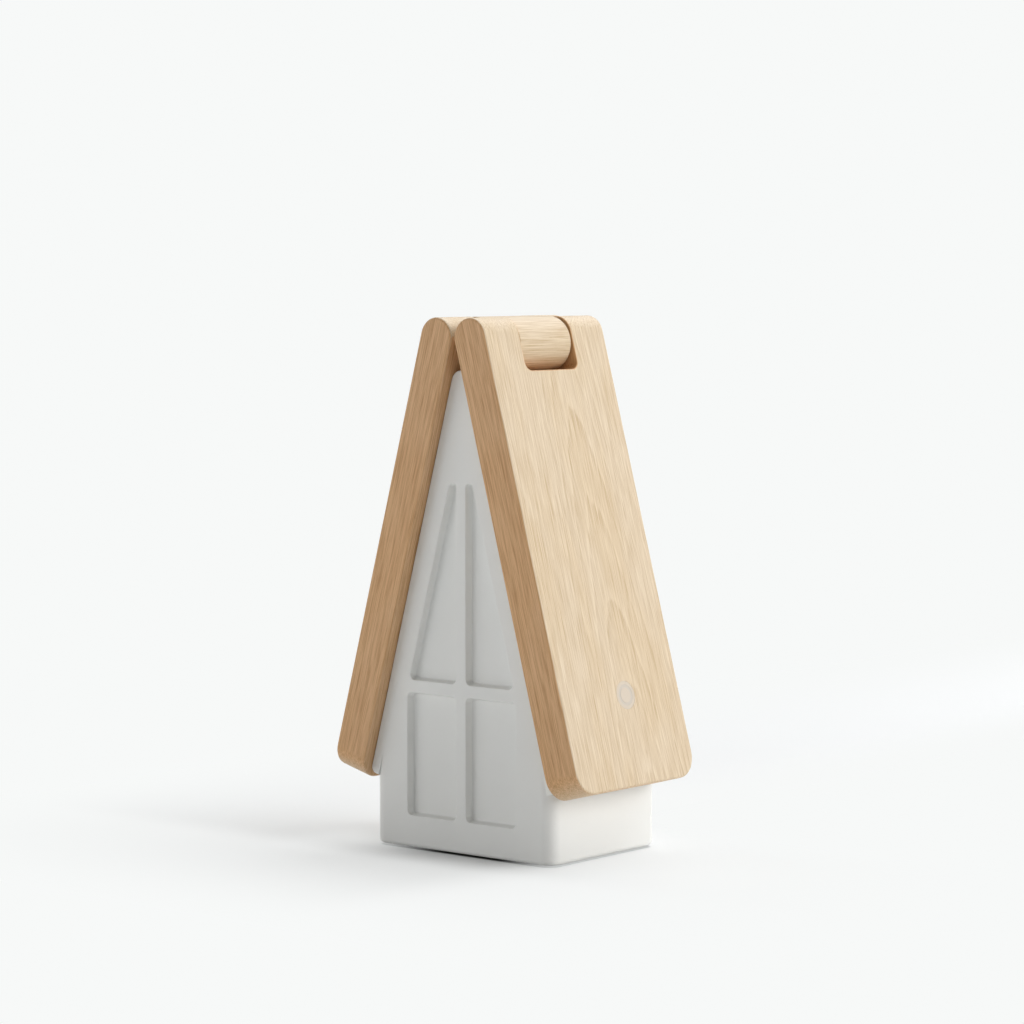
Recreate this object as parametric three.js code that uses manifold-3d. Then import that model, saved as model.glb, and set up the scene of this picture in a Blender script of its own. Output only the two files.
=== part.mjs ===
// Folding desk lamp shaped like a small house: a moulded house stands on a rubber foot, one wooden
// roof board is fixed to it, and the other carries the light and folds open over the ridge on a
// double-barrelled wooden link. Millimetres, +Z up, the front gable with its windows faces -Y.
import * as THREE from 'three';
import { mergeVertices } from 'three/addons/utils/BufferGeometryUtils.js';
import Module from 'manifold-3d';

const wasm = await Module();
wasm.setup();

// Driving dimensions of the whole lamp
const lampHeight = 205;
const houseWidth = 88.6;
const eaveHeight = 28.3;
const eaveOverhang = 1.7;
const seatGap = 0.3;
const runningGap = 0.2;
const cutOverrun = 2;

// Roof boards
const boardThickness = 15.2;
const boardDepth = 72.2;
const boardGap = 1.5;
const boardCornerRadius = 9.3;
const boardEdgeEase = 0.8;
const boardOverhang = 3;
const notchWidth = 31.4;
const notchGap = 0.9;
const notchCornerRadius = 3.4;

// House walls and roof saddle
const houseFrontSetback = 4.8;
const houseBackSetback = 1.9;
const houseCornerRadius = 5.5;
const houseBottomEase = 1.6;
const houseEdgeEase = 0.8;
const houseFloorGap = 0.7;
const frontWall = 4.2;
const houseWall = 2.4;
const saddleThickness = 4.1;
const saddleApexThickness = 2.7;
const saddleEndRadius = 2.5;
const saddleEdgeEase = 0.4;

// Window panes, sunk into the front wall
const windowDepth = 2.8;
const windowDraft = 0.7;
const windowCornerRadius = 2.2;
const windowTopRadius = 1.7;
const windowBar = 4.8;
const windowSpan = 54;
const windowSillHeight = 13.2;
const windowBarHeight = 60.9;
const windowRoofMargin = 9.35;

// Rubber foot, base cover with its screws, and ballast
const footThickness = 1.3;
const footInset = 4.6;
const footCornerRadius = 4;
const footEase = 0.3;
const coverThickness = 3;
const bossRadius = 3.6;
const bossCap = 2.4;
const bossInset = 3;
const coverScrewRadius = 1.2;
const coverScrewHeadRadius = 2.3;
const coverScrewHeadHeight = 1.3;
const coverScrewLength = 11;
const ballastThickness = 6;
const ballastGap = 3.5;
const ballastCornerRadius = 3;

// Battery cells and their cradle
const cellRadius = 9.2;
const cellLength = 65;
const cellCapLength = 1.2;
const cellCapRadius = 3;
const cradleWall = 1.6;
const cradleFloor = 1.4;
const cradleHeight = 26;
const cradleCornerRadius = 6;

// Control board, charging socket and charge light
const controlBoardHeight = 22;
const controlBoardThickness = 1.6;
const controlBoardMargin = 5;
const socketWidth = 8.94;
const socketHeight = 3.26;
const socketLength = 7.4;
const socketWall = 0.3;
const socketTongueWidth = 6.7;
const socketTongueThickness = 0.7;
const socketTongueSetback = 0.9;
const socketFloor = 1.2;
const socketAxisHeight = 20;
const socketRecess = 0.4;
const postRadius = 2.6;
const postSpace = 2.2;
const postScrewRadius = 0.9;
const postScrewHeadRadius = 1.9;
const postScrewHeadHeight = 1.2;
const postScrewLength = 6.5;
const chargeLightRadius = 1.2;
const chargeLightSpace = 5.3;

// Ridge hinge: link, shafts, bushes and washers
const washerGap = 1;
const linkGap = 0.4;
const barrelEase = 0.5;
const shaftRadius = 2.5;
const shaftEase = 0.4;
const bushRadius = 4.5;
const bushLength = 9;
const washerRadius = 6;
const washerThickness = 0.5;

// Screws that hold the fixed board to the saddle
const boardScrewRadius = 1.6;
const boardScrewHeadRadius = 3.2;
const boardScrewHeadHeight = 2;
const boardScrewReach = 9;
const boardScrewSpread = 34;
const boardScrewShares = [0.3, 0.78];

// Light panel in the folding board
const panelSideMargin = 8.6;
const panelTopMargin = 12.3;
const panelEndMargin = 20.4;
const panelCornerRadius = 5;
const pocketDepth = 7.4;
const diffuserThickness = 2;
const diffuserRecess = 0.2;
const diffuserEase = 0.3;
const trayWall = 1.2;
const ledBoardWidth = 30;
const ledBoardThickness = 1;
const ledBoardMargin = 9;
const ledSize = 3;
const ledHeight = 0.8;
const ledRowSpacing = 16;
const ledRows = 2;
const ledsPerRow = 10;
const trayScrewRadius = 1;
const trayScrewHeadRadius = 2;
const trayScrewHeadHeight = 1.1;
const trayScrewReach = 5;
const trayScrewInset = 5.5;

// Touch switch in the folding board
const touchRadius = 5.4;
const touchThickness = 1.6;
const touchBoreRadius = 3.4;
const touchEndMargin = 34.5;
const touchOffset = 2.8;
const touchBoardWidth = 20;
const touchBoardLength = 16;
const touchBoardThickness = 0.8;

// Proportions of every screw and the number of facets in round stretches
const screwDriveShare = 0.6;
const screwRimShare = 0.3;
const cornerSteps = 5;
const roundSteps = 24;
const smallSteps = 20;

// The slope of the roof, from the ridge axis at the top of a board to the eave's outer corner
const halfThickness = boardThickness / 2;
const ridgeX = (boardThickness + boardGap) / 2;
const ridgeZ = lampHeight - halfThickness;
const saddleOuter = -halfThickness - seatGap;
const eaveRun = houseWidth / 2 + eaveOverhang - ridgeX;
const eaveDrop = ridgeZ - eaveHeight;
const eaveReach = Math.hypot(eaveRun, eaveDrop);
const roofAngle = Math.atan2(eaveRun, eaveDrop) + Math.asin(-saddleOuter / eaveReach);
const slopeSine = Math.sin(roofAngle);
const slopeCosine = Math.cos(roofAngle);

// Places worked out from the dimensions
const saddleLength = Math.sqrt(eaveReach ** 2 - saddleOuter ** 2);
const boardLength = saddleLength + boardOverhang;
const houseFront = -boardDepth / 2 + houseFrontSetback;
const houseBack = boardDepth / 2 - houseBackSetback;
const houseMiddle = (houseFront + houseBack) / 2;
const saddleInner = saddleOuter - saddleThickness;
const saddleApexRadius = (saddleThickness - saddleApexThickness * slopeSine) / (1 - slopeSine);
const wallOuter = saddleInner - seatGap;
const wallInner = wallOuter - houseWall;
const cavityFront = houseFront + frontWall;
const cavityBack = houseBack - houseWall;
const cavityWidth = houseWidth - 2 * houseWall;
const cavityDepth = cavityBack - cavityFront;
const cavityMiddle = (cavityFront + cavityBack) / 2;
const cavityCornerRadius = houseCornerRadius - houseWall;
const coverBottom = footThickness + seatGap;
const coverTop = coverBottom + coverThickness;
const coverScrewStart = coverBottom + runningGap;
const bossBottom = coverTop + seatGap;
const bossHoleTop = coverScrewStart + coverScrewLength + seatGap;
const socketMouth = houseBack - socketRecess;
const controlBoardBack = socketMouth - socketLength - seatGap;
const controlBoardFront = controlBoardBack - controlBoardThickness;
const chargeLightOffset = socketWidth / 2 + chargeLightSpace + chargeLightRadius;
const postOffset = chargeLightOffset + chargeLightRadius + postSpace + postRadius;
const controlBoardWidth = 2 * (postOffset + controlBoardMargin);
const ballastTop = coverTop + seatGap + ballastThickness;
const ballastWidth = cavityWidth - 2 * (bossInset + bossRadius + ballastGap);
const ballastDepth = controlBoardFront - cavityFront - 2 * ballastGap;
const powerMiddle = (cavityFront + controlBoardFront) / 2;
const cradleBottom = ballastTop + seatGap;
const pocketRadius = cellRadius + seatGap;
const cellOffset = pocketRadius + cradleWall / 2;
// The barrels are as large as fits between the ridge, the boards' outer faces and the saddle's apex
const apexDepth = lampHeight - slopeHeight(0, saddleOuter - saddleApexRadius);
const apexReach = saddleApexRadius + linkGap;
const barrelSlant = (1 - slopeSine) / slopeCosine;
const barrelStart = ridgeX + halfThickness * barrelSlant;
const barrelSpread = barrelStart * barrelSlant + apexDepth + apexReach;
const barrelExcess = barrelSlant ** 2 * (barrelStart ** 2 + apexDepth ** 2 - apexReach ** 2);
const barrelRadius = (barrelSpread - Math.sqrt(barrelSpread ** 2 - barrelExcess)) / barrelSlant ** 2;
const barrelX = barrelStart - barrelSlant * barrelRadius;
const barrelZ = lampHeight - barrelRadius;
const barrelSwing = barrelRadius + Math.hypot(ridgeX - barrelX, ridgeZ - barrelZ);
const notchReach = barrelSwing + notchGap;
const notchEnd = notchWidth / 2;
const barrelFront = seatGap - notchEnd;
const barrelBack = notchEnd - washerGap;
const bushStart = notchEnd + runningGap;
const panelStart = notchReach + panelTopMargin;
const panelEnd = boardLength - panelEndMargin;
const panelWidth = boardDepth - 2 * panelSideMargin;
const panelLength = panelEnd - panelStart;
const panelMiddle = (panelStart + panelEnd) / 2;
const pocketFloor = -halfThickness + pocketDepth;
const diffuserFace = -halfThickness + diffuserRecess;
const diffuserBack = diffuserFace + diffuserThickness;
const trayBack = pocketFloor - seatGap;
const trayFloor = trayBack - trayWall;
const touchRecessFloor = pocketFloor + touchBoardThickness + seatGap;
const touchSeat = halfThickness - touchThickness - seatGap;
const touchPlace = boardLength - touchEndMargin;

// A point of the right-hand slope, from how far it lies down the slope from the ridge axis and how
// far out from that axis, square to the slope
function onSlope(along, out) {
  return [
    ridgeX + along * slopeSine + out * slopeCosine,
    ridgeZ - along * slopeCosine + out * slopeSine,
  ];
}

// Height at which the plane a distance out from the ridge axis crosses a given x
function slopeHeight(x, out) {
  return ridgeZ + (out - (x - ridgeX) * slopeCosine) / slopeSine;
}

// Height at which the end plane a distance down the slope crosses a given x
function endHeight(x, along) {
  return ridgeZ - (along - (x - ridgeX) * slopeSine) / slopeCosine;
}

// Solids, meshes and outlines

function toSolid(geometry) {
  const bare = geometry.clone();
  bare.deleteAttribute('normal');
  bare.deleteAttribute('uv');
  const merged = mergeVertices(bare);
  return new wasm.Manifold(new wasm.Mesh({
    numProp: 3,
    vertProperties: new Float32Array(merged.attributes.position.array),
    triVerts: new Uint32Array(merged.index.array),
  }));
}

function toGeometry(solid) {
  const mesh = solid.getMesh();
  const geometry = new THREE.BufferGeometry();
  geometry.setAttribute('position', new THREE.BufferAttribute(mesh.vertProperties, 3));
  geometry.setIndex(new THREE.BufferAttribute(mesh.triVerts, 1));
  geometry.computeVertexNormals();
  return geometry;
}

function cut(geometry, cutters) {
  return toGeometry(cutters.reduce((rest, cutter) => rest.subtract(toSolid(cutter)), toSolid(geometry)));
}

function join(geometry, others) {
  return toGeometry(others.reduce((sum, other) => sum.add(toSolid(other)), toSolid(geometry)));
}

function common(first, second) {
  return toGeometry(toSolid(first).intersect(toSolid(second)));
}

function mirrored(geometry) {
  return toGeometry(toSolid(geometry).mirror([1, 0, 0]));
}

// A closed outline from corners [x, y, radius], where each radius rounds its own corner
function outline(corners, steps = cornerSteps) {
  const points = [];
  corners.forEach(([x, y, radius = 0], i) => {
    const corner = new THREE.Vector2(x, y);
    const before = corners.at(i - 1);
    const after = corners[(i + 1) % corners.length];
    const toBefore = new THREE.Vector2(before[0] - x, before[1] - y).normalize();
    const toAfter = new THREE.Vector2(after[0] - x, after[1] - y).normalize();
    if (radius === 0) {
      points.push(corner);
      return;
    }
    const half = Math.acos(toBefore.dot(toAfter)) / 2;
    const middle = toBefore.clone().add(toAfter).normalize();
    const centre = corner.clone().addScaledVector(middle, radius / Math.sin(half));
    const start = corner.clone().addScaledVector(toBefore, radius / Math.tan(half)).sub(centre);
    const sweep = (2 * half - Math.PI) * Math.sign(toBefore.cross(toAfter));
    for (let k = 0; k <= steps; k += 1) {
      points.push(start.clone().rotateAround(new THREE.Vector2(), sweep * k / steps).add(centre));
    }
  });
  return new THREE.Shape(points);
}

function rectangle(width, height, radius = 0, x = 0, y = 0) {
  return outline([
    [x - width / 2, y - height / 2, radius],
    [x + width / 2, y - height / 2, radius],
    [x + width / 2, y + height / 2, radius],
    [x - width / 2, y + height / 2, radius],
  ]);
}

// Mirrors the corners of an outline's right-hand half to its left, for an outline about x = 0
function bothHalves(corners) {
  const others = corners.filter(([x]) => x > 0).map(([x, ...rest]) => [-x, ...rest]);
  return outline([...corners, ...others.reverse()]);
}

// A shape drawn in x and y, extruded along z between two places, with its end edges eased
function prism(shape, from, to, ease = 0) {
  return new THREE.ExtrudeGeometry(shape, {
    depth: to - from - 2 * ease,
    curveSegments: roundSteps / 2,
    bevelEnabled: ease > 0,
    bevelThickness: ease,
    bevelSize: ease,
    bevelOffset: -ease,
    bevelSegments: 2,
  }).translate(0, 0, from + ease);
}

// A shape drawn in x and z, extruded along y between two places
function gable(shape, from, to, ease = 0) {
  return prism(shape, -to, -from, ease).rotateX(Math.PI / 2);
}

// A cylinder along z between two places
function rod(radius, from, to, x = 0, y = 0) {
  return new THREE.CylinderGeometry(radius, radius, to - from, smallSteps)
    .rotateX(Math.PI / 2).translate(x, y, (from + to) / 2);
}

// A cylinder along y between two places
function deepRod(radius, from, to, x = 0, z = 0) {
  return new THREE.CylinderGeometry(radius, radius, to - from, smallSteps)
    .translate(x, (from + to) / 2, z);
}

// A turned piece along z from its profile of [radius, height]
function turned(profile) {
  const points = profile.map(([radius, height]) => new THREE.Vector2(radius, height));
  return new THREE.LatheGeometry(points, smallSteps).rotateX(Math.PI / 2);
}

function ring(innerRadius, outerRadius, length) {
  return turned([
    [innerRadius, 0],
    [outerRadius, 0],
    [outerRadius, length],
    [innerRadius, length],
    [innerRadius, 0],
  ]);
}

// A screw along z, with its head at 0 and its tip up
function screw(radius, headRadius, headHeight, length) {
  const driveRadius = radius * screwDriveShare;
  const rim = headHeight * screwRimShare;
  return turned([
    [0, headHeight - rim],
    [driveRadius, headHeight - rim],
    [driveRadius, 0],
    [headRadius - rim, 0],
    [headRadius, rim],
    [headRadius, headHeight],
    [radius, headHeight],
    [radius, length - radius],
    [0, length],
  ]);
}

// Boards are drawn flat: x towards the front, y down the board from its ridge axis, and z outwards
// from its middle plane. This puts such a piece on the right-hand slope.
const boardPlace = new THREE.Matrix4().makeBasis(
  new THREE.Vector3(0, -1, 0),
  new THREE.Vector3(slopeSine, 0, -slopeCosine),
  new THREE.Vector3(slopeCosine, 0, slopeSine),
).setPosition(ridgeX, 0, ridgeZ);

function onRightSlope(geometry) {
  return geometry.applyMatrix4(boardPlace);
}

function onLeftSlope(geometry) {
  return mirrored(onRightSlope(geometry));
}

// House shell: walls that follow the saddle, open below, with sunk windows and a socket opening

function paneCutter(corners) {
  return new THREE.ExtrudeGeometry(outline(corners), {
    depth: cutOverrun,
    bevelThickness: windowDepth,
    bevelSize: windowDraft,
    bevelOffset: -windowDraft,
    bevelSegments: 3,
  }).rotateX(Math.PI / 2).translate(0, houseFront, 0);
}

function windowCutters() {
  const innerEdge = windowBar / 2;
  const outerEdge = windowSpan / 2;
  const upperSill = windowBarHeight + windowBar;
  const paneSlope = saddleOuter - windowRoofMargin;
  const upperCorner = ridgeX + (paneSlope - (upperSill - ridgeZ) * slopeSine) / slopeCosine;
  const lowerPane = [
    [innerEdge, windowSillHeight, windowCornerRadius],
    [outerEdge, windowSillHeight, windowCornerRadius],
    [outerEdge, windowBarHeight, windowCornerRadius],
    [innerEdge, windowBarHeight, windowCornerRadius],
  ];
  const upperPane = [
    [innerEdge, upperSill, windowCornerRadius],
    [upperCorner, upperSill, windowCornerRadius],
    [innerEdge, slopeHeight(innerEdge, paneSlope), windowTopRadius],
  ];
  const rightPanes = [paneCutter(lowerPane), paneCutter(upperPane)];
  return [...rightPanes, ...rightPanes.map(mirrored)];
}

// The four corners of the base where its screws go
function basePlaces() {
  const x = cavityWidth / 2 - bossInset;
  return [-x, x].flatMap((side) => [
    [side, cavityFront + bossInset],
    [side, cavityBack - bossInset],
  ]);
}

function houseShell() {
  const ledge = saddleLength + seatGap;
  const walls = bothHalves([
    [houseWidth / 2, houseFloorGap],
    [houseWidth / 2, endHeight(houseWidth / 2, ledge)],
    onSlope(ledge, wallOuter),
    [0, slopeHeight(0, wallOuter)],
  ]);
  const houseDepth = houseBack - houseFront;
  const plan = rectangle(houseWidth, houseDepth, houseCornerRadius, 0, houseMiddle);
  const outside = common(
    gable(walls, houseFront, houseBack, houseEdgeEase),
    prism(plan, houseFloorGap, lampHeight, houseBottomEase),
  );
  const cavity = bothHalves([
    [cavityWidth / 2, houseFloorGap - cutOverrun],
    [cavityWidth / 2, slopeHeight(cavityWidth / 2, wallInner)],
    [0, slopeHeight(0, wallInner)],
  ]);
  const cavityPlan = rectangle(cavityWidth, cavityDepth, cavityCornerRadius, 0, cavityMiddle);
  const inside = common(
    gable(cavity, cavityFront, cavityBack),
    prism(cavityPlan, houseFloorGap - cutOverrun, lampHeight),
  );
  const bosses = basePlaces().map(([x, y]) => rod(bossRadius, bossBottom, bossHoleTop + bossCap, x, y));
  const posts = [-postOffset, postOffset].map((x) => deepRod(
    postRadius, controlBoardBack + seatGap, cavityBack + houseWall / 2, x, socketAxisHeight));
  const screwHoles = basePlaces().map(([x, y]) => rod(
    coverScrewRadius + runningGap, bossBottom - cutOverrun, bossHoleTop, x, y));
  const postHoles = [-postOffset, postOffset].map((x) => deepRod(
    postScrewRadius + runningGap, controlBoardBack,
    controlBoardFront + postScrewLength, x, socketAxisHeight));
  const socketSlot = rectangle(
    socketWidth + 2 * seatGap, socketHeight + 2 * seatGap,
    socketHeight / 2, 0, socketAxisHeight);
  return cut(join(cut(outside, [inside]), [...bosses, ...posts]), [
    ...windowCutters(),
    ...screwHoles,
    ...postHoles,
    gable(socketSlot, cavityBack - cutOverrun, houseBack + cutOverrun),
    deepRod(chargeLightRadius + seatGap, cavityBack - cutOverrun, houseBack + cutOverrun,
      chargeLightOffset, socketAxisHeight),
  ]);
}

// Roof saddle: the inverted V between the house walls and the boards, whose legs end as eaves

function boardScrewPlaces() {
  return boardScrewShares.flatMap((share) => [
    [-boardScrewSpread / 2, saddleLength * share],
    [boardScrewSpread / 2, saddleLength * share],
  ]);
}

function roofSaddle() {
  const legs = bothHalves([
    [0, slopeHeight(0, saddleInner)],
    onSlope(saddleLength, saddleInner),
    [...onSlope(saddleLength, saddleOuter), saddleEndRadius],
    [0, slopeHeight(0, saddleOuter), saddleApexRadius],
  ]);
  const headSeat = saddleInner + boardScrewHeadHeight + seatGap;
  const holes = boardScrewPlaces().flatMap(([x, y]) => [
    rod(boardScrewRadius + runningGap, saddleInner - cutOverrun, saddleOuter + cutOverrun, x, y),
    rod(boardScrewHeadRadius + runningGap, saddleInner - cutOverrun, headSeat, x, y),
  ]);
  return cut(gable(legs, houseFront, houseBack, saddleEdgeEase), holes.map(onLeftSlope));
}

// Base: rubber foot, cover, screws and ballast

function rubberFoot() {
  const width = houseWidth - 2 * footInset;
  const depth = houseBack - houseFront - 2 * footInset;
  return prism(rectangle(width, depth, footCornerRadius, 0, houseMiddle), 0, footThickness, footEase);
}

function baseCover() {
  const plan = rectangle(
    cavityWidth - 2 * seatGap, cavityDepth - 2 * seatGap, cavityCornerRadius, 0, cavityMiddle);
  const headSeat = coverScrewStart + coverScrewHeadHeight + runningGap;
  return cut(prism(plan, coverBottom, coverTop), basePlaces().flatMap(([x, y]) => [
    rod(coverScrewRadius + runningGap, coverBottom - cutOverrun, coverTop + cutOverrun, x, y),
    rod(coverScrewHeadRadius + runningGap, coverBottom - cutOverrun, headSeat, x, y),
  ]));
}

function coverScrew([x, y]) {
  return screw(coverScrewRadius, coverScrewHeadRadius, coverScrewHeadHeight, coverScrewLength)
    .translate(x, y, coverScrewStart);
}

function ballastPlate() {
  const plan = rectangle(ballastWidth, ballastDepth, ballastCornerRadius, 0, powerMiddle);
  return prism(plan, coverTop + seatGap, ballastTop);
}

// Power: two upright cells in a cradle, the control board on two posts, charging socket and light

function batteryCell(side) {
  const shoulder = cellLength - cellCapLength;
  return turned([
    [0, 0],
    [cellRadius, 0],
    [cellRadius, shoulder],
    [cellCapRadius, shoulder],
    [cellCapRadius, cellLength],
    [0, cellLength],
  ]).translate(side * cellOffset, powerMiddle, cradleBottom + cradleFloor + seatGap);
}

function batteryCradle() {
  const reach = pocketRadius + cradleWall;
  const plan = rectangle(2 * (cellOffset + reach), 2 * reach, cradleCornerRadius, 0, powerMiddle);
  const top = cradleBottom + cradleHeight;
  return cut(prism(plan, cradleBottom, top), [-cellOffset, cellOffset].map((x) => rod(
    pocketRadius, cradleBottom + cradleFloor, top + cutOverrun, x, powerMiddle)));
}

function controlBoard() {
  const face = rectangle(controlBoardWidth, controlBoardHeight, 0, 0, socketAxisHeight);
  return cut(gable(face, controlBoardFront, controlBoardBack), [-1, 1].map((side) => deepRod(
    postScrewRadius + runningGap, controlBoardFront - cutOverrun, controlBoardBack + cutOverrun,
    side * postOffset, socketAxisHeight)));
}

function postScrew(side) {
  const start = controlBoardFront - seatGap - postScrewHeadHeight;
  return screw(postScrewRadius, postScrewHeadRadius, postScrewHeadHeight, postScrewLength)
    .rotateX(-Math.PI / 2).translate(side * postOffset, start, socketAxisHeight);
}

function chargeSocket() {
  const shell = rectangle(socketWidth, socketHeight, socketHeight / 2 - socketWall, 0, socketAxisHeight);
  const mouth = rectangle(
    socketWidth - 2 * socketWall, socketHeight - 2 * socketWall,
    socketHeight / 2 - 2 * socketWall, 0, socketAxisHeight);
  const tongue = rectangle(socketTongueWidth, socketTongueThickness, 0, 0, socketAxisHeight);
  const back = socketMouth - socketLength;
  const hollow = cut(gable(shell, back, socketMouth), [
    gable(mouth, back + socketFloor, socketMouth + cutOverrun),
  ]);
  return join(hollow, [gable(tongue, back + socketFloor / 2, socketMouth - socketTongueSetback)]);
}

function chargeLight() {
  return deepRod(chargeLightRadius, controlBoardBack + seatGap, socketMouth,
    chargeLightOffset, socketAxisHeight);
}

// Roof boards: half-round along the ridge, notched for the link's barrel, with bores for its bushes

function boardBlank(length) {
  const halfDepth = boardDepth / 2;
  const top = -halfThickness - cutOverrun;
  const face = outline([
    [-halfDepth, top],
    [-notchEnd, top],
    [-notchEnd, notchReach, notchCornerRadius],
    [notchEnd, notchReach, notchCornerRadius],
    [notchEnd, top],
    [halfDepth, top],
    [halfDepth, length, boardCornerRadius],
    [-halfDepth, length, boardCornerRadius],
  ]);
  const side = new THREE.Shape()
    .absarc(0, 0, halfThickness, Math.PI, 2 * Math.PI)
    .lineTo(halfThickness, length)
    .lineTo(-halfThickness, length);
  const blank = common(
    prism(face, -halfThickness, halfThickness, boardEdgeEase),
    prism(side, -halfDepth, halfDepth).rotateY(-Math.PI / 2),
  );
  const boreLength = runningGap + bushLength + seatGap;
  return cut(blank, [-1, 1].map((end) => rod(
    bushRadius + runningGap, -boreLength / 2 - cutOverrun, boreLength / 2)
    .rotateY(end * Math.PI / 2).translate(end * (notchEnd + boreLength / 2), 0, 0)));
}

function fixedBoard() {
  const pilots = boardScrewPlaces().map(([x, y]) => rod(
    boardScrewRadius + runningGap, -halfThickness - cutOverrun,
    -halfThickness + boardScrewReach + seatGap, x, y));
  return onLeftSlope(cut(boardBlank(boardLength), pilots));
}

function boardScrew([x, y]) {
  const length = saddleThickness + seatGap + boardScrewReach - runningGap;
  return onLeftSlope(
    screw(boardScrewRadius, boardScrewHeadRadius, boardScrewHeadHeight, length)
      .translate(x, y, saddleInner + runningGap));
}

function trayScrewPlaces() {
  const x = panelWidth / 2 - trayScrewInset;
  return [-x, x].flatMap((side) => [
    [side, panelStart + trayScrewInset],
    [side, panelEnd - trayScrewInset],
  ]);
}

function panelOutline(inset) {
  return rectangle(
    panelWidth - 2 * inset, panelLength - 2 * inset, panelCornerRadius - inset, 0, panelMiddle);
}

function foldingBoard() {
  const touchX = -touchOffset;
  const touchBoardSeat = rectangle(
    touchBoardWidth + 2 * seatGap, touchBoardLength + 2 * seatGap, 0, touchX, touchPlace);
  return onRightSlope(cut(boardBlank(boardLength), [
    prism(panelOutline(0), -halfThickness - cutOverrun, pocketFloor),
    prism(touchBoardSeat, pocketFloor - cutOverrun, touchRecessFloor),
    rod(touchBoreRadius, touchRecessFloor - cutOverrun, halfThickness, touchX, touchPlace),
    rod(touchRadius + seatGap, touchSeat, halfThickness + cutOverrun, touchX, touchPlace),
    ...trayScrewPlaces().map(([x, y]) => rod(
      trayScrewRadius + runningGap, pocketFloor - cutOverrun,
      pocketFloor + trayScrewReach + seatGap, x, y)),
  ]));
}

// Light panel: tray, LED board and diffuser

function ledTray() {
  const outside = prism(panelOutline(seatGap), diffuserBack + seatGap, trayBack);
  const inside = prism(panelOutline(seatGap + trayWall), diffuserBack - cutOverrun, trayFloor);
  return onRightSlope(cut(outside, [inside, ...trayScrewPlaces().map(([x, y]) => rod(
    trayScrewRadius + runningGap, trayFloor - cutOverrun, trayBack + cutOverrun, x, y))]));
}

function ledBoard() {
  const length = panelLength - 2 * ledBoardMargin;
  const back = trayFloor - seatGap;
  const face = back - ledBoardThickness;
  const pitch = length / ledsPerRow;
  const leds = [];
  for (let row = 0; row < ledRows; row += 1) {
    const x = (row - (ledRows - 1) / 2) * ledRowSpacing;
    for (let i = 0; i < ledsPerRow; i += 1) {
      const y = panelMiddle + (i - (ledsPerRow - 1) / 2) * pitch;
      leds.push(prism(rectangle(ledSize, ledSize, 0, x, y), face - ledHeight, back - ledBoardThickness / 2));
    }
  }
  const base = prism(rectangle(ledBoardWidth, length, 0, 0, panelMiddle), face, back);
  return onRightSlope(join(base, leds));
}

function diffuser() {
  return onRightSlope(prism(panelOutline(seatGap), diffuserFace, diffuserBack, diffuserEase));
}

function trayScrew([x, y]) {
  const start = trayFloor - seatGap - trayScrewHeadHeight;
  const length = pocketFloor + trayScrewReach - start;
  return onRightSlope(
    screw(trayScrewRadius, trayScrewHeadRadius, trayScrewHeadHeight, length).translate(x, y, start));
}

// Touch switch: a flush disc on the outside and its sensor board behind the pocket floor

function touchDisc() {
  return onRightSlope(
    rod(touchRadius, touchSeat + seatGap, halfThickness, -touchOffset, touchPlace));
}

function touchBoard() {
  const plan = rectangle(touchBoardWidth, touchBoardLength, 0, -touchOffset, touchPlace);
  return onRightSlope(prism(plan, pocketFloor, pocketFloor + touchBoardThickness));
}

// Ridge hinge: a link whose two barrels, flush with the roof when it is closed, turn in the boards'
// notches on steel shafts

function ridgeLink() {
  const meeting = Math.acos(barrelX / barrelRadius);
  const section = new THREE.Shape()
    .absarc(barrelX, barrelZ, barrelRadius, meeting - Math.PI, Math.PI - meeting)
    .absarc(-barrelX, barrelZ, barrelRadius, meeting, 2 * Math.PI - meeting);
  const bores = [-ridgeX, ridgeX].map((x) => deepRod(
    shaftRadius + runningGap, barrelFront - cutOverrun, barrelBack + cutOverrun, x, ridgeZ));
  return cut(gable(section, barrelFront, barrelBack, barrelEase), bores);
}

function hingeShaft(side) {
  const end = bushStart + bushLength - shaftEase;
  return turned([
    [0, -end],
    [shaftRadius - shaftEase, -end],
    [shaftRadius, shaftEase - end],
    [shaftRadius, end - shaftEase],
    [shaftRadius - shaftEase, end],
    [0, end],
  ]).rotateX(-Math.PI / 2).translate(side * ridgeX, 0, ridgeZ);
}

// A ring on one hinge axis, from a distance outwards along it, at the front or the back
function hingeRing(outerRadius, length, start, side, end) {
  return ring(shaftRadius + runningGap, outerRadius, length)
    .translate(0, 0, start).rotateX(-end * Math.PI / 2).translate(side * ridgeX, 0, ridgeZ);
}

function hingeBush(side, end) {
  return hingeRing(bushRadius, bushLength, bushStart, side, end);
}

function hingeWasher(side) {
  const start = barrelBack + (washerGap - washerThickness) / 2;
  return hingeRing(washerRadius, washerThickness, start, side, endNames.back);
}

// Finishes, and the named pieces in the three groups that move against each other

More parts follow.
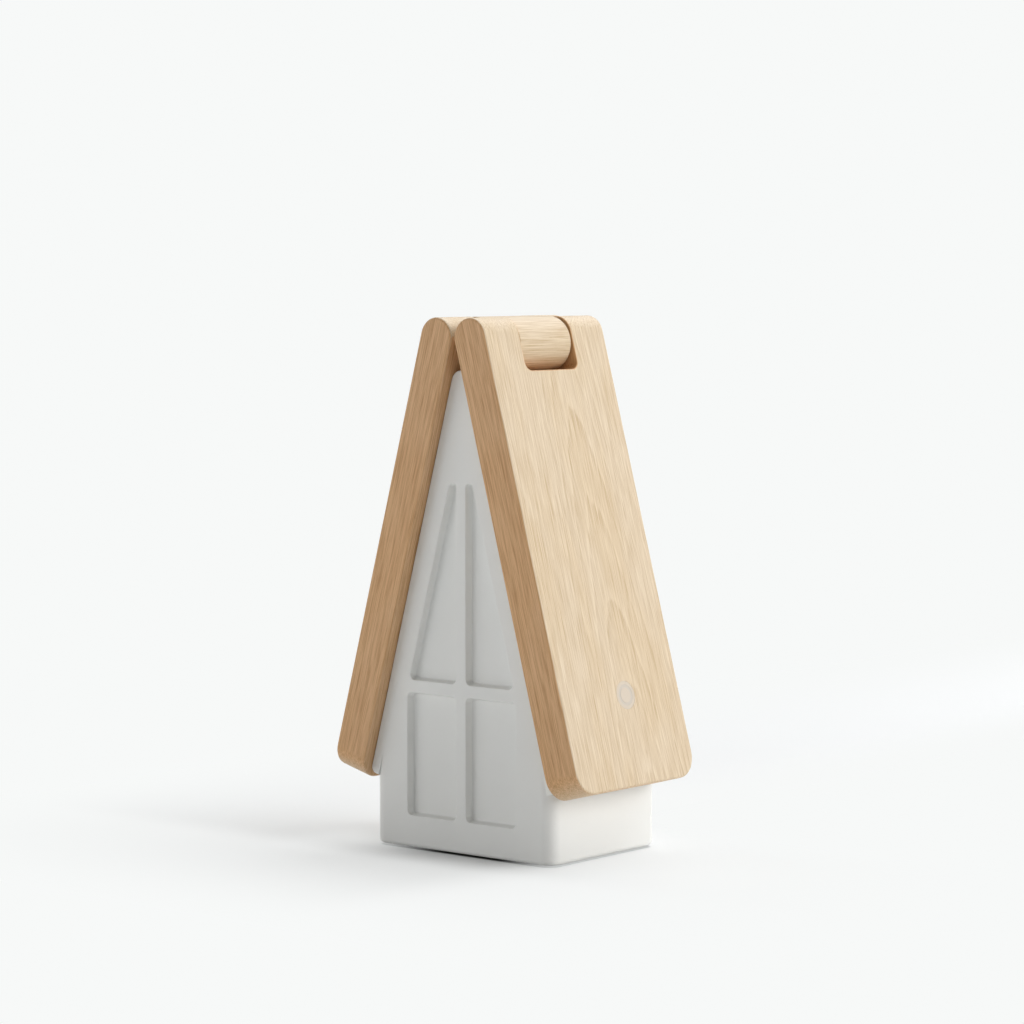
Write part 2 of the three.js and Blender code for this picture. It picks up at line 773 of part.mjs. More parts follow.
const finishes = {
  oak: { color: 0xe6d0b0, roughness: 0.62, metalness: 0 },
  whitePlastic: { color: 0xe6e6e3, roughness: 0.6, metalness: 0 },
  darkRubber: { color: 0x2b2b2b, roughness: 0.9, metalness: 0 },
  greyPlastic: { color: 0x8f9090, roughness: 0.6, metalness: 0 },
  steel: { color: 0xb4b6b8, roughness: 0.35, metalness: 1 },
  aluminium: { color: 0xd2d4d6, roughness: 0.4, metalness: 1 },
  brass: { color: 0xc9a65a, roughness: 0.35, metalness: 1 },
  darkAcetal: { color: 0x3a3633, roughness: 0.5, metalness: 0 },
  circuitBoard: { color: 0x1f5a3c, roughness: 0.5, metalness: 0 },
  whiteBoard: { color: 0xededea, roughness: 0.5, metalness: 0 },
  cellWrap: { color: 0x3b6ea8, roughness: 0.4, metalness: 0 },
  opalAcrylic: { color: 0xf4f3ee, roughness: 0.35, metalness: 0 },
  frostedDisc: { color: 0xe3d8c6, roughness: 0.45, metalness: 0 },
};

function addPiece(group, name, finish, geometry) {
  const mesh = new THREE.Mesh(geometry, new THREE.MeshStandardMaterial(finishes[finish]));
  mesh.name = name;
  group.add(mesh);
}

function addNumbered(group, name, finish, places, make) {
  places.forEach((place, i) => addPiece(group, `${name}_${i + 1}`, finish, make(place)));
}

const sideNames = { left: -1, right: 1 };
const endNames = { front: -1, back: 1 };

function houseGroup() {
  const group = new THREE.Group();
  addPiece(group, 'rubber_foot', 'darkRubber', rubberFoot());
  addPiece(group, 'base_cover', 'greyPlastic', baseCover());
  addNumbered(group, 'cover_screw', 'steel', basePlaces(), coverScrew);
  addPiece(group, 'ballast_plate', 'steel', ballastPlate());
  addPiece(group, 'battery_cradle', 'greyPlastic', batteryCradle());
  addNumbered(group, 'battery_cell', 'cellWrap', [-1, 1], batteryCell);
  addPiece(group, 'control_board', 'circuitBoard', controlBoard());
  addNumbered(group, 'control_board_screw', 'steel', [-1, 1], postScrew);
  addPiece(group, 'charge_socket', 'steel', chargeSocket());
  addPiece(group, 'charge_light', 'opalAcrylic', chargeLight());
  addPiece(group, 'house_shell', 'whitePlastic', houseShell());
  addPiece(group, 'roof_saddle', 'whitePlastic', roofSaddle());
  addPiece(group, 'fixed_board', 'oak', fixedBoard());
  addNumbered(group, 'board_screw', 'steel', boardScrewPlaces(), boardScrew);
  return group;
}

function linkGroup() {
  const group = new THREE.Group();
  addPiece(group, 'ridge_link', 'oak', ridgeLink());
  for (const [sideName, side] of Object.entries(sideNames)) {
    addPiece(group, `${sideName}_hinge_shaft`, 'steel', hingeShaft(side));
    addPiece(group, `${sideName}_washer`, 'darkAcetal', hingeWasher(side));
  }
  return group;
}

function headGroup() {
  const group = new THREE.Group();
  addPiece(group, 'folding_board', 'oak', foldingBoard());
  addPiece(group, 'led_tray', 'aluminium', ledTray());
  addNumbered(group, 'tray_screw', 'steel', trayScrewPlaces(), trayScrew);
  addPiece(group, 'led_board', 'whiteBoard', ledBoard());
  addPiece(group, 'light_diffuser', 'opalAcrylic', diffuser());
  addPiece(group, 'touch_disc', 'frostedDisc', touchDisc());
  addPiece(group, 'touch_board', 'circuitBoard', touchBoard());
  return group;
}

const bushes = { house: houseGroup(), head: headGroup() };
for (const [endName, end] of Object.entries(endNames)) {
  addPiece(bushes.house, `left_${endName}_bush`, 'brass', hingeBush(sideNames.left, end));
  addPiece(bushes.head, `right_${endName}_bush`, 'brass', hingeBush(sideNames.right, end));
}

const lamp = new THREE.Group();
lamp.add(bushes.house, linkGroup(), bushes.head);

export default lamp;
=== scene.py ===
"""Folding desk lamp shaped like a small house: the visible pieces and their finishes, built round
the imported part, with a plain studio floor, soft light and a camera. Lengths are in metres, and
those inside a finish in millimetres."""
import math

import bmesh
import bpy
from bpy.props import FloatProperty, FloatVectorProperty, PointerProperty
from bpy.types import Operator, Panel, PropertyGroup
from mathutils import Matrix, Vector


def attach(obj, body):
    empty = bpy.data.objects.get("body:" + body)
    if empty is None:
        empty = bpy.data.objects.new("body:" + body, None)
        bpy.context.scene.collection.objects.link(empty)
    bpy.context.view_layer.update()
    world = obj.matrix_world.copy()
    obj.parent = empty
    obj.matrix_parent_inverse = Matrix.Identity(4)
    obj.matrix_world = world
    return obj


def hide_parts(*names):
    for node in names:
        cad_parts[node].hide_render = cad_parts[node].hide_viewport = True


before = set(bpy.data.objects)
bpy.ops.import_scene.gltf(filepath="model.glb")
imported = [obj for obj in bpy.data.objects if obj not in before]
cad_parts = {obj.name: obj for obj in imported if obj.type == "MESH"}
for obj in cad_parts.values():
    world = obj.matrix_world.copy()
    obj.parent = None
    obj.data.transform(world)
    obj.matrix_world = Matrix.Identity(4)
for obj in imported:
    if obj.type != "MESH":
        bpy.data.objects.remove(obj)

bl_info = {
    "name": "Folding Desk Lamp",
    "version": (1, 0, 0),
    "blender": (4, 5, 0),
    "location": "3D View > Sidebar > Lamp",
    "description": "Builds a house-shaped folding desk lamp and a studio stage for it",
    "category": "Add Mesh",
}

MM = 0.001
SEAT_GAP = 0.3 * MM
RUNNING_GAP = 0.2 * MM
OVERRUN = 2 * MM
CORNER_STEPS = 10
HOUSE_CORNER_STEPS = 14
BOTTOM_STEPS = 6
WINDOW_STEPS = 6
EASE_STEPS = 4
SMALL_EASE_STEPS = 3
ROUND_STEPS = 64
SMALL_STEPS = 40
SHARP_ANGLE = math.radians(32)
NOTCH_ANGLE = math.radians(60)
MIRROR = Matrix.Scale(-1, 4, (1, 0, 0))


def length(name, description, millimetres):
    """A length property, given in millimetres and kept in metres."""
    return FloatProperty(
        name=name, description=description, default=millimetres * MM, unit="LENGTH")


def angle(name, description, degrees):
    """An angle property, given in degrees."""
    return FloatProperty(
        name=name, description=description, default=math.radians(degrees), unit="ROTATION")


def number(name, description, default):
    """A plain number property."""
    return FloatProperty(name=name, description=description, default=default)


def colour(name, description, default):
    """A colour property, as linear red, green and blue."""
    return FloatVectorProperty(
        name=name, description=description, default=default, subtype="COLOR", size=3, min=0, max=1)


def place(name, description, millimetres):
    """A place property, given in millimetres and kept in metres."""
    return FloatVectorProperty(
        name=name, description=description, size=3, subtype="TRANSLATION", unit="LENGTH",
        default=tuple(value * MM for value in millimetres))


# Sizes and colours that a user would change


class RoofSizes(PropertyGroup):
    """Sizes of the roof boards and of the saddle under them."""

    lamp_height: length("Lamp height", "Height over the ridge", 205)
    house_width: length("House width", "Width of the house over its side walls", 88.6)
    eave_height: length("Eave height", "Height of the saddle's outer lower corners", 28.3)
    eave_overhang: length("Eave overhang", "How far those corners stand out from the walls", 1.7)
    board_thickness: length("Board thickness", "Thickness of both roof boards", 15.2)
    board_depth: length("Board depth", "Size of the boards from front to back", 72.2)
    board_gap: length("Board gap", "Gap between the two boards at the ridge", 1.5)
    corner_radius: length("Board corner radius", "Rounding of the boards' lower corners", 9.3)
    edge_ease: length("Board edge ease", "Rounding of the boards' edges", 0.9)
    board_overhang: length("Board overhang", "How far the boards pass the saddle's lower ends", 3)
    notch_width: length("Notch width", "Width of the notches for the link", 31.4)
    notch_gap: length("Notch gap", "Room between the turning link and the notches", 0.9)
    notch_ease: length("Notch ease", "Rounding of the notches' edges", 0.35)
    notch_radius: length("Notch corner radius", "Rounding of the notches' lower corners", 3.4)
    saddle_thickness: length("Saddle thickness", "Thickness of the saddle's legs", 4.1)
    saddle_apex: length("Saddle apex thickness", "Height of the saddle at its rounded apex", 2.7)
    saddle_end_radius: length("Saddle end radius", "Rounding of the legs' outer lower corners", 2.5)
    saddle_ease: length("Saddle edge ease", "Rounding of the saddle's front and back edges", 0.4)
    link_gap: length("Link gap", "Room between the link and the saddle's apex", 0.4)


class HouseSizes(PropertyGroup):
    """Sizes of the moulded house, its windows and its base."""

    front_setback: length("Front setback", "How far the front lies behind the boards' edges", 4.8)
    back_setback: length("Back setback", "How far the back lies inside the boards' edges", 1.9)
    corner_radius: length("Corner radius", "Rounding of the upright corners", 5.5)
    bottom_ease: length("Bottom ease", "Rounding of the lower edge", 1.6)
    edge_ease: length("Edge ease", "Rounding of the gable edges", 0.8)
    floor_gap: length("Floor gap", "Height of the shell's lower edge", 0.7)
    front_wall: length("Front wall", "Thickness of the front wall", 4.2)
    wall: length("Wall", "Thickness of the other walls", 2.4)
    window_depth: length("Window depth", "Depth of the sunk panes", 2.8)
    window_draft: length("Window draft", "How far a pane narrows over its depth", 0.7)
    window_radius: length("Window corner radius", "Rounding of the panes' corners", 2.2)
    window_top_radius: length("Window top radius", "Rounding of the upper panes' peaks", 1.7)
    window_mouth: length("Window mouth ease", "Rounding of the panes' outer edges", 0.45)
    window_floor: length("Window floor ease", "Rounding where the walls meet the pane", 0.6)
    window_bar: length("Window bar", "Width of the bars between the panes", 4.8)
    window_span: length("Window span", "Width over the panes", 54)
    sill_height: length("Sill height", "Height of the lower panes' sills", 13.2)
    bar_height: length("Bar height", "Height of the cross bar's underside", 60.9)
    roof_margin: length("Roof margin", "Distance of the upper panes from the saddle", 9.35)
    foot_thickness: length("Foot thickness", "Thickness of the rubber foot", 1.3)
    foot_inset: length("Foot inset", "How far the foot lies inside the walls", 4.6)
    foot_radius: length("Foot corner radius", "Rounding of the foot's corners", 4)
    foot_ease: length("Foot edge ease", "Rounding of the foot's edges", 0.3)


class HingeSizes(PropertyGroup):
    """Sizes of the ridge link and of what it turns on."""

    front_gap: length("Front gap", "Room in front of the barrels", 0.06)
    barrel_ease: length("Barrel ease", "Rounding of the barrels' ends", 0.2)
    washer_gap: length("Washer gap", "Room for the washer behind a barrel", 1)
    shaft_radius: length("Shaft radius", "Radius of the hinge shafts", 2.5)
    bush_radius: length("Bush radius", "Outer radius of the bushes", 4.5)
    bush_length: length("Bush length", "Length of the bushes", 9)


class PanelSizes(PropertyGroup):
    """Sizes of the light panel and of the touch switch in the folding board."""

    side_margin: length("Side margin", "Board left beside the panel", 8.6)
    top_margin: length("Top margin", "Board left between the notch and the panel", 12.3)
    end_margin: length("End margin", "Board left below the panel", 20.4)
    corner_radius: length("Panel corner radius", "Rounding of the panel's corners", 5)
    pocket_depth: length("Pocket depth", "Depth of the pocket for the panel", 7.4)
    diffuser_thickness: length("Diffuser thickness", "Thickness of the opal diffuser", 2)
    diffuser_recess: length("Diffuser recess", "How far the diffuser is sunk", 0.2)
    diffuser_ease: length("Diffuser ease", "Rounding of the diffuser's edges", 0.3)
    touch_radius: length("Touch radius", "Radius of the touch disc", 5.4)
    touch_thickness: length("Touch thickness", "Thickness of the touch disc", 1.6)
    touch_bore: length("Touch bore", "Radius of the bore behind the disc", 3.4)
    touch_end_margin: length("Touch end margin", "Distance of the disc from the board's end", 34.5)
    touch_offset: length("Touch offset", "Distance of the disc from the middle", 2.8)
    ring_radius: length("Ring radius", "Radius of the ring sunk in the disc", 3.5)
    ring_width: length("Ring width", "Width of that ring", 0.9)
    ring_depth: length("Ring depth", "Depth of that ring", 0.08)


class LampColours(PropertyGroup):
    """Colours of the finishes."""

    oak_pale: colour("Pale oak", "Earlywood of the oak", (0.730, 0.596, 0.431))
    oak_deep: colour("Deep oak", "Latewood and pores of the oak", (0.560, 0.412, 0.250))
    # Painted shade: an orange darkening on the boards' sawn edges, inner faces and notch walls and
    # on the link's underside
    painted_shade_tint: colour("Sawn edges", "Tint of the oak's sawn edges", (0.975, 0.725, 0.51))
    house_white: colour("House white", "The moulded house and saddle", (0.860, 0.863, 0.838))
    rubber: colour("Rubber", "The foot", (0.022, 0.021, 0.020))
    disc: colour("Frosted disc", "The touch disc", (0.655, 0.56, 0.45))
    disc_ring: colour("Disc ring", "The ring in the touch disc", (0.60, 0.53, 0.45))
    opal: colour("Opal", "The diffuser and the charge light", (0.88, 0.875, 0.86))
    floor: colour("Floor", "The studio floor", (0.855, 0.868, 0.872))
    contact: colour("Contact shade", "The floor right under the house", (0.06, 0.058, 0.055))
    backdrop: colour("Backdrop", "What the camera sees behind the floor", (0.931, 0.945, 0.938))


class StageSettings(PropertyGroup):
    """The camera and the studio light."""

    camera_place: place("Camera place", "Where the camera stands", (830.804, -1008.887, 226.746))
    camera_turn: angle("Camera turn", "How far the camera is turned about the upright", 39.4912)
    camera_tilt: angle("Camera tilt", "How far the camera looks down", 4.2462)
    lens: number("Lens", "Focal length in millimetres on a 36 mm frame", 119.585)
    key_place: place("Key place", "Where the side light stands", (2120, 770, 820))
    key_width: length("Key width", "Width of the side light", 2400)
    key_height: length("Key height", "Height of the side light", 1200)
    key_power: number("Key power", "Power of the side light in watts", 34)
    top_place: place("Top place", "Where the overhead light hangs", (0, 1300, 2000))
    top_size: length("Top size", "Side of the overhead light", 2400)
    top_power: number("Top power", "Power of the overhead light in watts", 52)
    fill_place: place("Fill place", "Where the front light stands", (-1500, -1300, 500))
    fill_width: length("Fill width", "Width of the front light", 1600)
    fill_height: length("Fill height", "Height of the front light", 1000)
    fill_power: number("Fill power", "Power of the front light in watts", 11.7)
    sky_strength: number("Sky strength", "Strength of the even light from all round", 0.148)


# Node trees


def maths_method(operation, swapped=False):
    """A method that adds a Math node on a socket and another value."""
    def method(self, other):
        values = (other, self) if swapped else (self, other)
        return self.tree.maths(operation, *values)

    return method


class Socket:
    """A node's output, wrapped so that a sum on it adds Math nodes."""

    __add__, __radd__ = maths_method("ADD"), maths_method("ADD", True)
    __sub__, __rsub__ = maths_method("SUBTRACT"), maths_method("SUBTRACT", True)
    __mul__, __rmul__ = maths_method("MULTIPLY"), maths_method("MULTIPLY", True)
    __truediv__, __rtruediv__ = maths_method("DIVIDE"), maths_method("DIVIDE", True)
    __pow__, __rpow__ = maths_method("POWER"), maths_method("POWER", True)

    def __init__(self, tree, output):
        self.tree = tree
        self.output = output

    def __neg__(self):
        return self * -1

    def __abs__(self):
        return self.tree.maths("ABSOLUTE", self)


class Tree:
    """A node tree, with one way to add any node."""

    def __init__(self, owner):
        self.owner = owner

    def node(self, kind, settings=None, values=None, output=0):
        """Adds a node with its settings, then the values or links of its sockets."""
        made = self.owner.nodes.new(kind)
        for name, value in (settings or {}).items():
            setattr(made, name, value)
        for key, value in (values or {}).items():
            if isinstance(value, Socket):
                self.owner.links.new(value.output, made.inputs[key])
            else:
                made.inputs[key].default_value = value
        if output is None:
            return made
        if isinstance(output, tuple):
            return tuple(Socket(self, made.outputs[name]) for name in output)
        return Socket(self, made.outputs[output])

    def maths(self, operation, *values):
        """A Math node on one or two numbers."""
        return self.node("ShaderNodeMath", {"operation": operation}, dict(enumerate(values)))

    def vector(self, x, y, z):
        """Three numbers as one vector."""
        return self.node("ShaderNodeCombineXYZ", values={"X": x, "Y": y, "Z": z})

    def noise(self, vector, scale, detail=2, roughness=0.5):
        """Smooth noise about 0.5."""
        return self.node("ShaderNodeTexNoise", values={
            "Vector": vector, "Scale": scale, "Detail": detail, "Roughness": roughness})

    def mix(self, factor, first, second, blend="MIX"):
        """One colour laid over another."""
        settings = {"data_type": "RGBA", "blend_type": blend}
        return self.node("ShaderNodeMix", settings, {0: factor, 6: first, 7: second}, 2)

    def larger(self, first, second):
        """The larger of two numbers."""
        return self.maths("MAXIMUM", first, second)

    def ramp(self, value, low, high, smooth=True):
        """A number taken from 0 at the low end to 1 at the high end."""
        kind = "SMOOTHSTEP" if smooth else "LINEAR"
        return self.node("ShaderNodeMapRange", {"interpolation_type": kind}, {
            "Value": value, "From Min": low, "From Max": high})


def opaque(shade, level=1):
    """A colour, darkened to a level, with its alpha."""
    return (*(value * level for value in shade), 1)


def new_finish(name):
    """An empty node material and its tree."""
    material = bpy.data.materials.new(name)
    material.use_nodes = True
    material.node_tree.nodes.clear()
    return material, Tree(material.node_tree)


def close_finish(tree, values, height=None, depth=0, strength=1):
    """Ends a material in a Principled shader, with a bump from a height if one is given."""
    values = dict(values)
    if height is not None:
        values["Normal"] = tree.node("ShaderNodeBump", values={
            "Height": height, "Distance": depth, "Strength": strength})
    shader = tree.node("ShaderNodeBsdfPrincipled", values=values)
    tree.node("ShaderNodeOutputMaterial", values={"Surface": shader}, output=None)


def object_place(tree, turn=(0, 0, 0), shift=(0, 0, 0)):
    """Object coordinates in millimetres, turned and shifted, as a vector and its three numbers."""
    source = tree.node("ShaderNodeTexCoord", output="Object")
    vector = tree.node("ShaderNodeMapping", values={
        "Vector": source, "Scale": (1 / MM,) * 3, "Rotation": turn, "Location": shift})
    parts = tree.node("ShaderNodeSeparateXYZ", values={"Vector": vector}, output=("X", "Y", "Z"))
    return vector, parts


# Finishes


RING_SPACING = 1.9
RING_WANDER = 1.5
RING_RIPPLE = 0.9
HEART_DRIFT = 0.012
# Each noise of the oak: its stretch along the grain, scale, detail and roughness
OAK_NOISE = {
    "fibre": (0.022, 3, 3, 0.6), "streak": (0.015, 0.9, 2, 0.6), "broad": (0.25, 0.07, 2, 0.5),
    "wander": (0.12, 0.05, 3, 0.5), "ripple": (0.05, 0.35, 2, 0.5), "pores": (0.07, 3, 2, 0.5)}
# Where in a ring its latewood starts and stops, and where the pale line ends and starts again
LATE_STARTS, LATE_STOPS = (0.62, 0.91), (0.92, 0.98)
PALE_STOPS, PALE_STARTS = (0.03, 0.2), (0.94, 1)
FIBRE_BAND = (-0.20, 0.06)
PORE_BAND = (0.10, 0.24)
WARM_BAND = (-0.12, 0.12)
WARM_PATCH = (0.99, 0.97, 0.925)
# How much of the deep colour each feature adds to the plain wood
PLAIN_OAK = 0.29
GRAIN = {"fibre": 3.3, "streak": 0.36, "broad": 0.25, "late": 0.28, "pale": -0.25, "pores": 0.4}
SHADE_RANGE = (-0.3, 1.3)
SAWN_FIBRE = 0.6
SAWN_RINGS = -0.6
CLOUD_BAND = (0.3, 0.7)


def oak(name, colours, turn, shift, along_axis, heart, tilt, painted_shade):
    """Oiled pale oak. Growth rings lie round a tilted heart line, with fibres and pores along them.
    heart is where that line runs, across and behind the middle plane. The mask that the last
    argument makes marks the painted shade, a darker orange tint, and where the grain is marked
    otherwise."""
    material, tree = new_finish(name)
    _, (x, y, z) = object_place(tree, turn, shift)
    out, across, along = (x, y, z) if along_axis == "Z" else (x, z, y)

    def noise(kind):
        stretch, scale, detail, roughness = OAK_NOISE[kind]
        return tree.noise(tree.vector(out, across, along * stretch), scale, detail, roughness) - 0.5

    # Mask of painted shade: a board's sawn edges and inner face, or the link's underside
    edge = painted_shade(tree, out, across, along)
    fibre, streak, broad = noise("fibre"), noise("streak"), noise("broad")
    side = across - heart[0] + along * HEART_DRIFT
    back = out + heart[1] + along * tilt
    wander = noise("wander") * RING_WANDER + noise("ripple") * RING_RIPPLE
    turns = ((side * side + back * back) ** 0.5 + wander) / RING_SPACING
    phase = tree.maths("FRACT", turns)
    tone = tree.node("ShaderNodeTexWhiteNoise", {"noise_dimensions": "1D"}, {
        "W": tree.maths("FLOOR", turns)})
    late = tree.ramp(phase, *LATE_STARTS) * (1 - tree.ramp(phase, *LATE_STOPS)) * (0.4 + tone)
    late = late * tree.ramp(fibre, *FIBRE_BAND)
    pale = (1 - tree.ramp(phase, *PALE_STOPS)) + tree.ramp(phase, *PALE_STARTS)
    pores = tree.ramp(noise("pores"), *PORE_BAND) * (1 - 0.6 * phase)
    rings = (GRAIN["streak"] * streak + GRAIN["broad"] * broad + GRAIN["late"] * late
             + GRAIN["pale"] * pale)
    shade = (PLAIN_OAK + GRAIN["fibre"] * fibre * (1 + SAWN_FIBRE * edge)
             + rings * (1 + SAWN_RINGS * edge) + GRAIN["pores"] * pores)
    palest, deepest = (
        opaque(shift_shade(colours.oak_pale, colours.oak_deep, share)) for share in SHADE_RANGE)
    base = tree.mix(tree.ramp(shade, *SHADE_RANGE, smooth=False), palest, deepest)
    base = tree.mix(tree.ramp(broad, *WARM_BAND), base, opaque(WARM_PATCH), "MULTIPLY")
    # Painted shade: the masked places are darkened to orange
    base = tree.mix(edge, base, opaque(colours.painted_shade_tint), "MULTIPLY")
    close_finish(tree, {
        "Base Color": base, "Roughness": 0.50 + 0.10 * fibre + 0.12 * pores,
        "Specular IOR Level": 0.35,
    }, 1 - 0.6 * pores - 0.5 * fibre - 0.2 * late, 0.05 * MM, 0.5)
    return material


def shift_shade(pale, deep, share):
    """The colour at a share of the way from one to the other, which may lie past either."""
    return tuple(max(0, min(1, a + (b - a) * share)) for a, b in zip(pale, deep))


def moulded(name, shade, roughness, grain, depth, speckle=0.015):
    """Moulded plastic or rubber with a very fine spark-eroded texture."""
    material, tree = new_finish(name)
    vector, _ = object_place(tree)
    cloud = tree.noise(vector, 0.03, 2)
    texture = tree.noise(vector, grain, 2, 0.6)
    base = tree.mix(tree.ramp(cloud, *CLOUD_BAND) * 0.6 + texture * 0.4,
                    opaque(shade, 1 - 2 * speckle), opaque(shade))
    close_finish(tree, {
        "Base Color": base, "Roughness": roughness - 0.04 + 0.08 * texture,
        "Specular IOR Level": 0.4,
    }, texture, depth, 0.5)
    return material


def turned_metal(name, shade, roughness, stretch=(1, 1, 1), scratch=2.5):
    """Metal with fine tool marks, drawn out along the directions with a small stretch."""
    material, tree = new_finish(name)
    _, (x, y, z) = object_place(tree)
    marks = tree.noise(tree.vector(x * stretch[0], y * stretch[1], z * stretch[2]), scratch, 3, 0.7)
    worn = tree.noise(tree.vector(x, y, z), 0.12, 2)
    base = tree.mix(tree.ramp(worn, *CLOUD_BAND), opaque(shade, 0.9), opaque(shade))
    close_finish(tree, {
        "Base Color": base, "Metallic": 1, "Roughness": roughness - 0.06 + 0.12 * marks,
    }, marks, 0.01 * MM, 0.4)
    return material


def opal(name, shade, roughness, specks, ring=None):
    """Opal or frosted plastic: an even, slightly cloudy body with a satin face. ring gives a ring
    its colour, middle, radius and width."""
    material, tree = new_finish(name)
    vector, _ = object_place(tree)
    cloud = tree.noise(vector, 0.08, 3)
    frost = tree.noise(vector, specks, 2, 0.6)
    base = tree.mix(tree.ramp(cloud, *CLOUD_BAND), opaque(shade, 0.97), opaque(shade))
    if ring is not None:
        ring_shade, middle, radius, width = ring
        away = tree.node("ShaderNodeVectorMath", {"operation": "DISTANCE"}, {
            0: vector, 1: tuple(value / MM for value in middle)}, "Value")
        inside = 1 - tree.ramp(abs(away - radius / MM), width / MM / 3, width / MM)
        base = tree.mix(inside, base, opaque(ring_shade))
    close_finish(tree, {
        "Base Color": base, "Roughness": roughness + 0.10 * (frost - 0.5),
        "Subsurface Weight": 0.15, "Subsurface Radius": (1, 1, 1), "Subsurface Scale": 1.5 * MM,
    }, frost, 0.01 * MM, 0.3)
    return material


def circuit(name, shade, track):
    """A circuit board's solder mask, with fine copper tracks under it."""
    material, tree = new_finish(name)
    vector, (x, y, z) = object_place(tree)
    weave = tree.node("ShaderNodeTexBrick", {"offset": 0.5}, {
        "Vector": tree.vector(x, z + y, 0), "Scale": 0.4, "Color1": opaque(shade),
        "Color2": opaque(shade, 0.92), "Mortar": opaque(track), "Mortar Size": 0.03})
    close_finish(tree, {
        "Base Color": weave, "Roughness": 0.38 + 0.08 * tree.noise(vector, 1.5, 2)})
    return material


# Meshes


def as_mesh(points, faces):
    """A mesh from points and faces, with its faces turned outwards."""
    mesh = bpy.data.meshes.new("blank")
    mesh.from_pydata(points, [], faces)
    work = bmesh.new()
    work.from_mesh(mesh)
    bmesh.ops.recalc_face_normals(work, faces=work.faces)
    work.to_mesh(mesh)
    work.free()
    return mesh


def stacked(rings):
    """A closed mesh from rings of points, each joined to the next and the ends capped."""
    size = len(rings[0])
    points = [point for ring in rings for point in ring]
    faces = [tuple(reversed(range(size))), tuple(range(len(points) - size, len(points)))]
    for level in range(len(rings) - 1):
        for i in range(size):
            first = level * size + i
            second = level * size + (i + 1) % size
            faces.append((first, second, second + size, first + size))
    return as_mesh(points, faces)


def rounded(corners, inset=0, steps=CORNER_STEPS):
    """A closed outline from corners (x, y, radius), all moved inwards by an inset."""
    outline = []
    for i, (x, y, radius) in enumerate(corners):
        corner = Vector((x, y))
        before = (Vector(corners[i - 1][:2]) - corner).normalized()
        after = (Vector(corners[(i + 1) % len(corners)][:2]) - corner).normalized()
        half = math.acos(max(-1, min(1, before.dot(after)))) / 2
        inward = (before + after).normalized()
        turn = before.x * after.y - before.y * after.x
        convex = turn < 0
        if not convex:
            inward = -inward
        corner = corner + inward * inset / math.sin(half)
        if radius == 0:
            outline.append(corner)
            continue
        radius = radius - inset if convex else radius + inset
        towards = inward if convex else -inward
        centre = corner + towards * radius / math.sin(half)
        start = corner + before * radius / math.tan(half) - centre
        sweep = (math.pi - 2 * half) * (1 if convex else -1)
        for k in range(steps + 1):
            outline.append(centre + rotated(start, sweep * k / steps))
    return outline


def rotated(vector, turn):
    """A flat vector turned about the origin."""
    sine, cosine = math.sin(turn), math.cos(turn)
    return Vector((vector.x * cosine - vector.y * sine, vector.x * sine + vector.y * cosine))


def rectangle(width, height, radius=0, x=0, y=0):
    """The corners of a rectangle."""
    return [
        (x - width / 2, y - height / 2, radius),
        (x + width / 2, y - height / 2, radius),
        (x + width / 2, y + height / 2, radius),
        (x - width / 2, y + height / 2, radius),
    ]


def tongue(half_width, low, high, radius):
    """The corners of a rectangle about x = 0 with its two upper corners rounded."""
    return [(-half_width, low, 0), (half_width, low, 0),
            (half_width, high, radius), (-half_width, high, radius)]


def both_halves(corners):
    """An outline about x = 0 from its right-hand half's corners, in counter-clockwise order."""
    return corners + [(-x, y, radius) for x, y, radius in reversed(corners) if x > 0]


def prism(corners, low, high, ease=0, ease_steps=EASE_STEPS, steps=CORNER_STEPS):
    """A shape in x and y drawn out along z, with its end edges eased."""
    levels = [(0, 0)]
    if ease:
        quarter = [k * math.pi / 2 / ease_steps for k in range(ease_steps + 1)]
        levels = [(ease * (1 - math.sin(turn)), ease * (1 - math.cos(turn))) for turn in quarter]
    rings = [(inset, low + rise) for inset, rise in levels]
    rings += [(inset, high - rise) for inset, rise in reversed(levels)]
    return stacked([[(p.x, p.y, z) for p in rounded(corners, inset, steps)] for inset, z in rings])


def gable(corners, front, back, ease=0):
    """A shape in x and z drawn out along y, with its end edges eased."""
    return moved(prism(corners, -back, -front, ease), Matrix.Rotation(math.pi / 2, 4, "X"))


def circle(radius, segments):
    """A flat circle of points."""
    turns = [2 * math.pi * k / segments for k in range(segments)]
    return [(radius * math.cos(turn), radius * math.sin(turn)) for turn in turns]


def turned(profile, segments=ROUND_STEPS):
    """A turned piece along z from its profile of (radius, height), closed by flat ends."""
    return stacked([
        [(x, y, height) for x, y in circle(radius, segments)] for radius, height in profile])


def rod(radius, low, high, x=0, y=0, segments=SMALL_STEPS):
    """A cylinder along z."""
    return moved(turned([(radius, low), (radius, high)], segments), Matrix.Translation((x, y, 0)))


def deep_rod(radius, front, back, x, z):
    """A cylinder along y."""
    upright = turned([(radius, -back), (radius, -front)], SMALL_STEPS)
    return moved(upright, Matrix.Translation((x, 0, z)) @ Matrix.Rotation(math.pi / 2, 4, "X"))


def moved(mesh, matrix):
    """The mesh put somewhere else, with its faces still outwards where that mirrors it."""
    mesh.transform(matrix)
    if matrix.determinant() < 0:
        mesh.flip_normals()
    return mesh


def new_object(name, data):
    """A new object in the scene."""
    thing = bpy.data.objects.new(name, data)
    bpy.context.scene.collection.objects.link(thing)
    return thing


def temporary(mesh):
    """An object that is only there while a mesh is being worked on."""
    return new_object("work", mesh)


def settled(thing):
    """The object's mesh with its modifiers worked in. The object is removed."""
    bpy.context.view_layer.update()
    evaluated = thing.evaluated_get(bpy.context.evaluated_depsgraph_get())
    mesh = bpy.data.meshes.new_from_object(evaluated)
    bpy.data.objects.remove(thing)
    return mesh


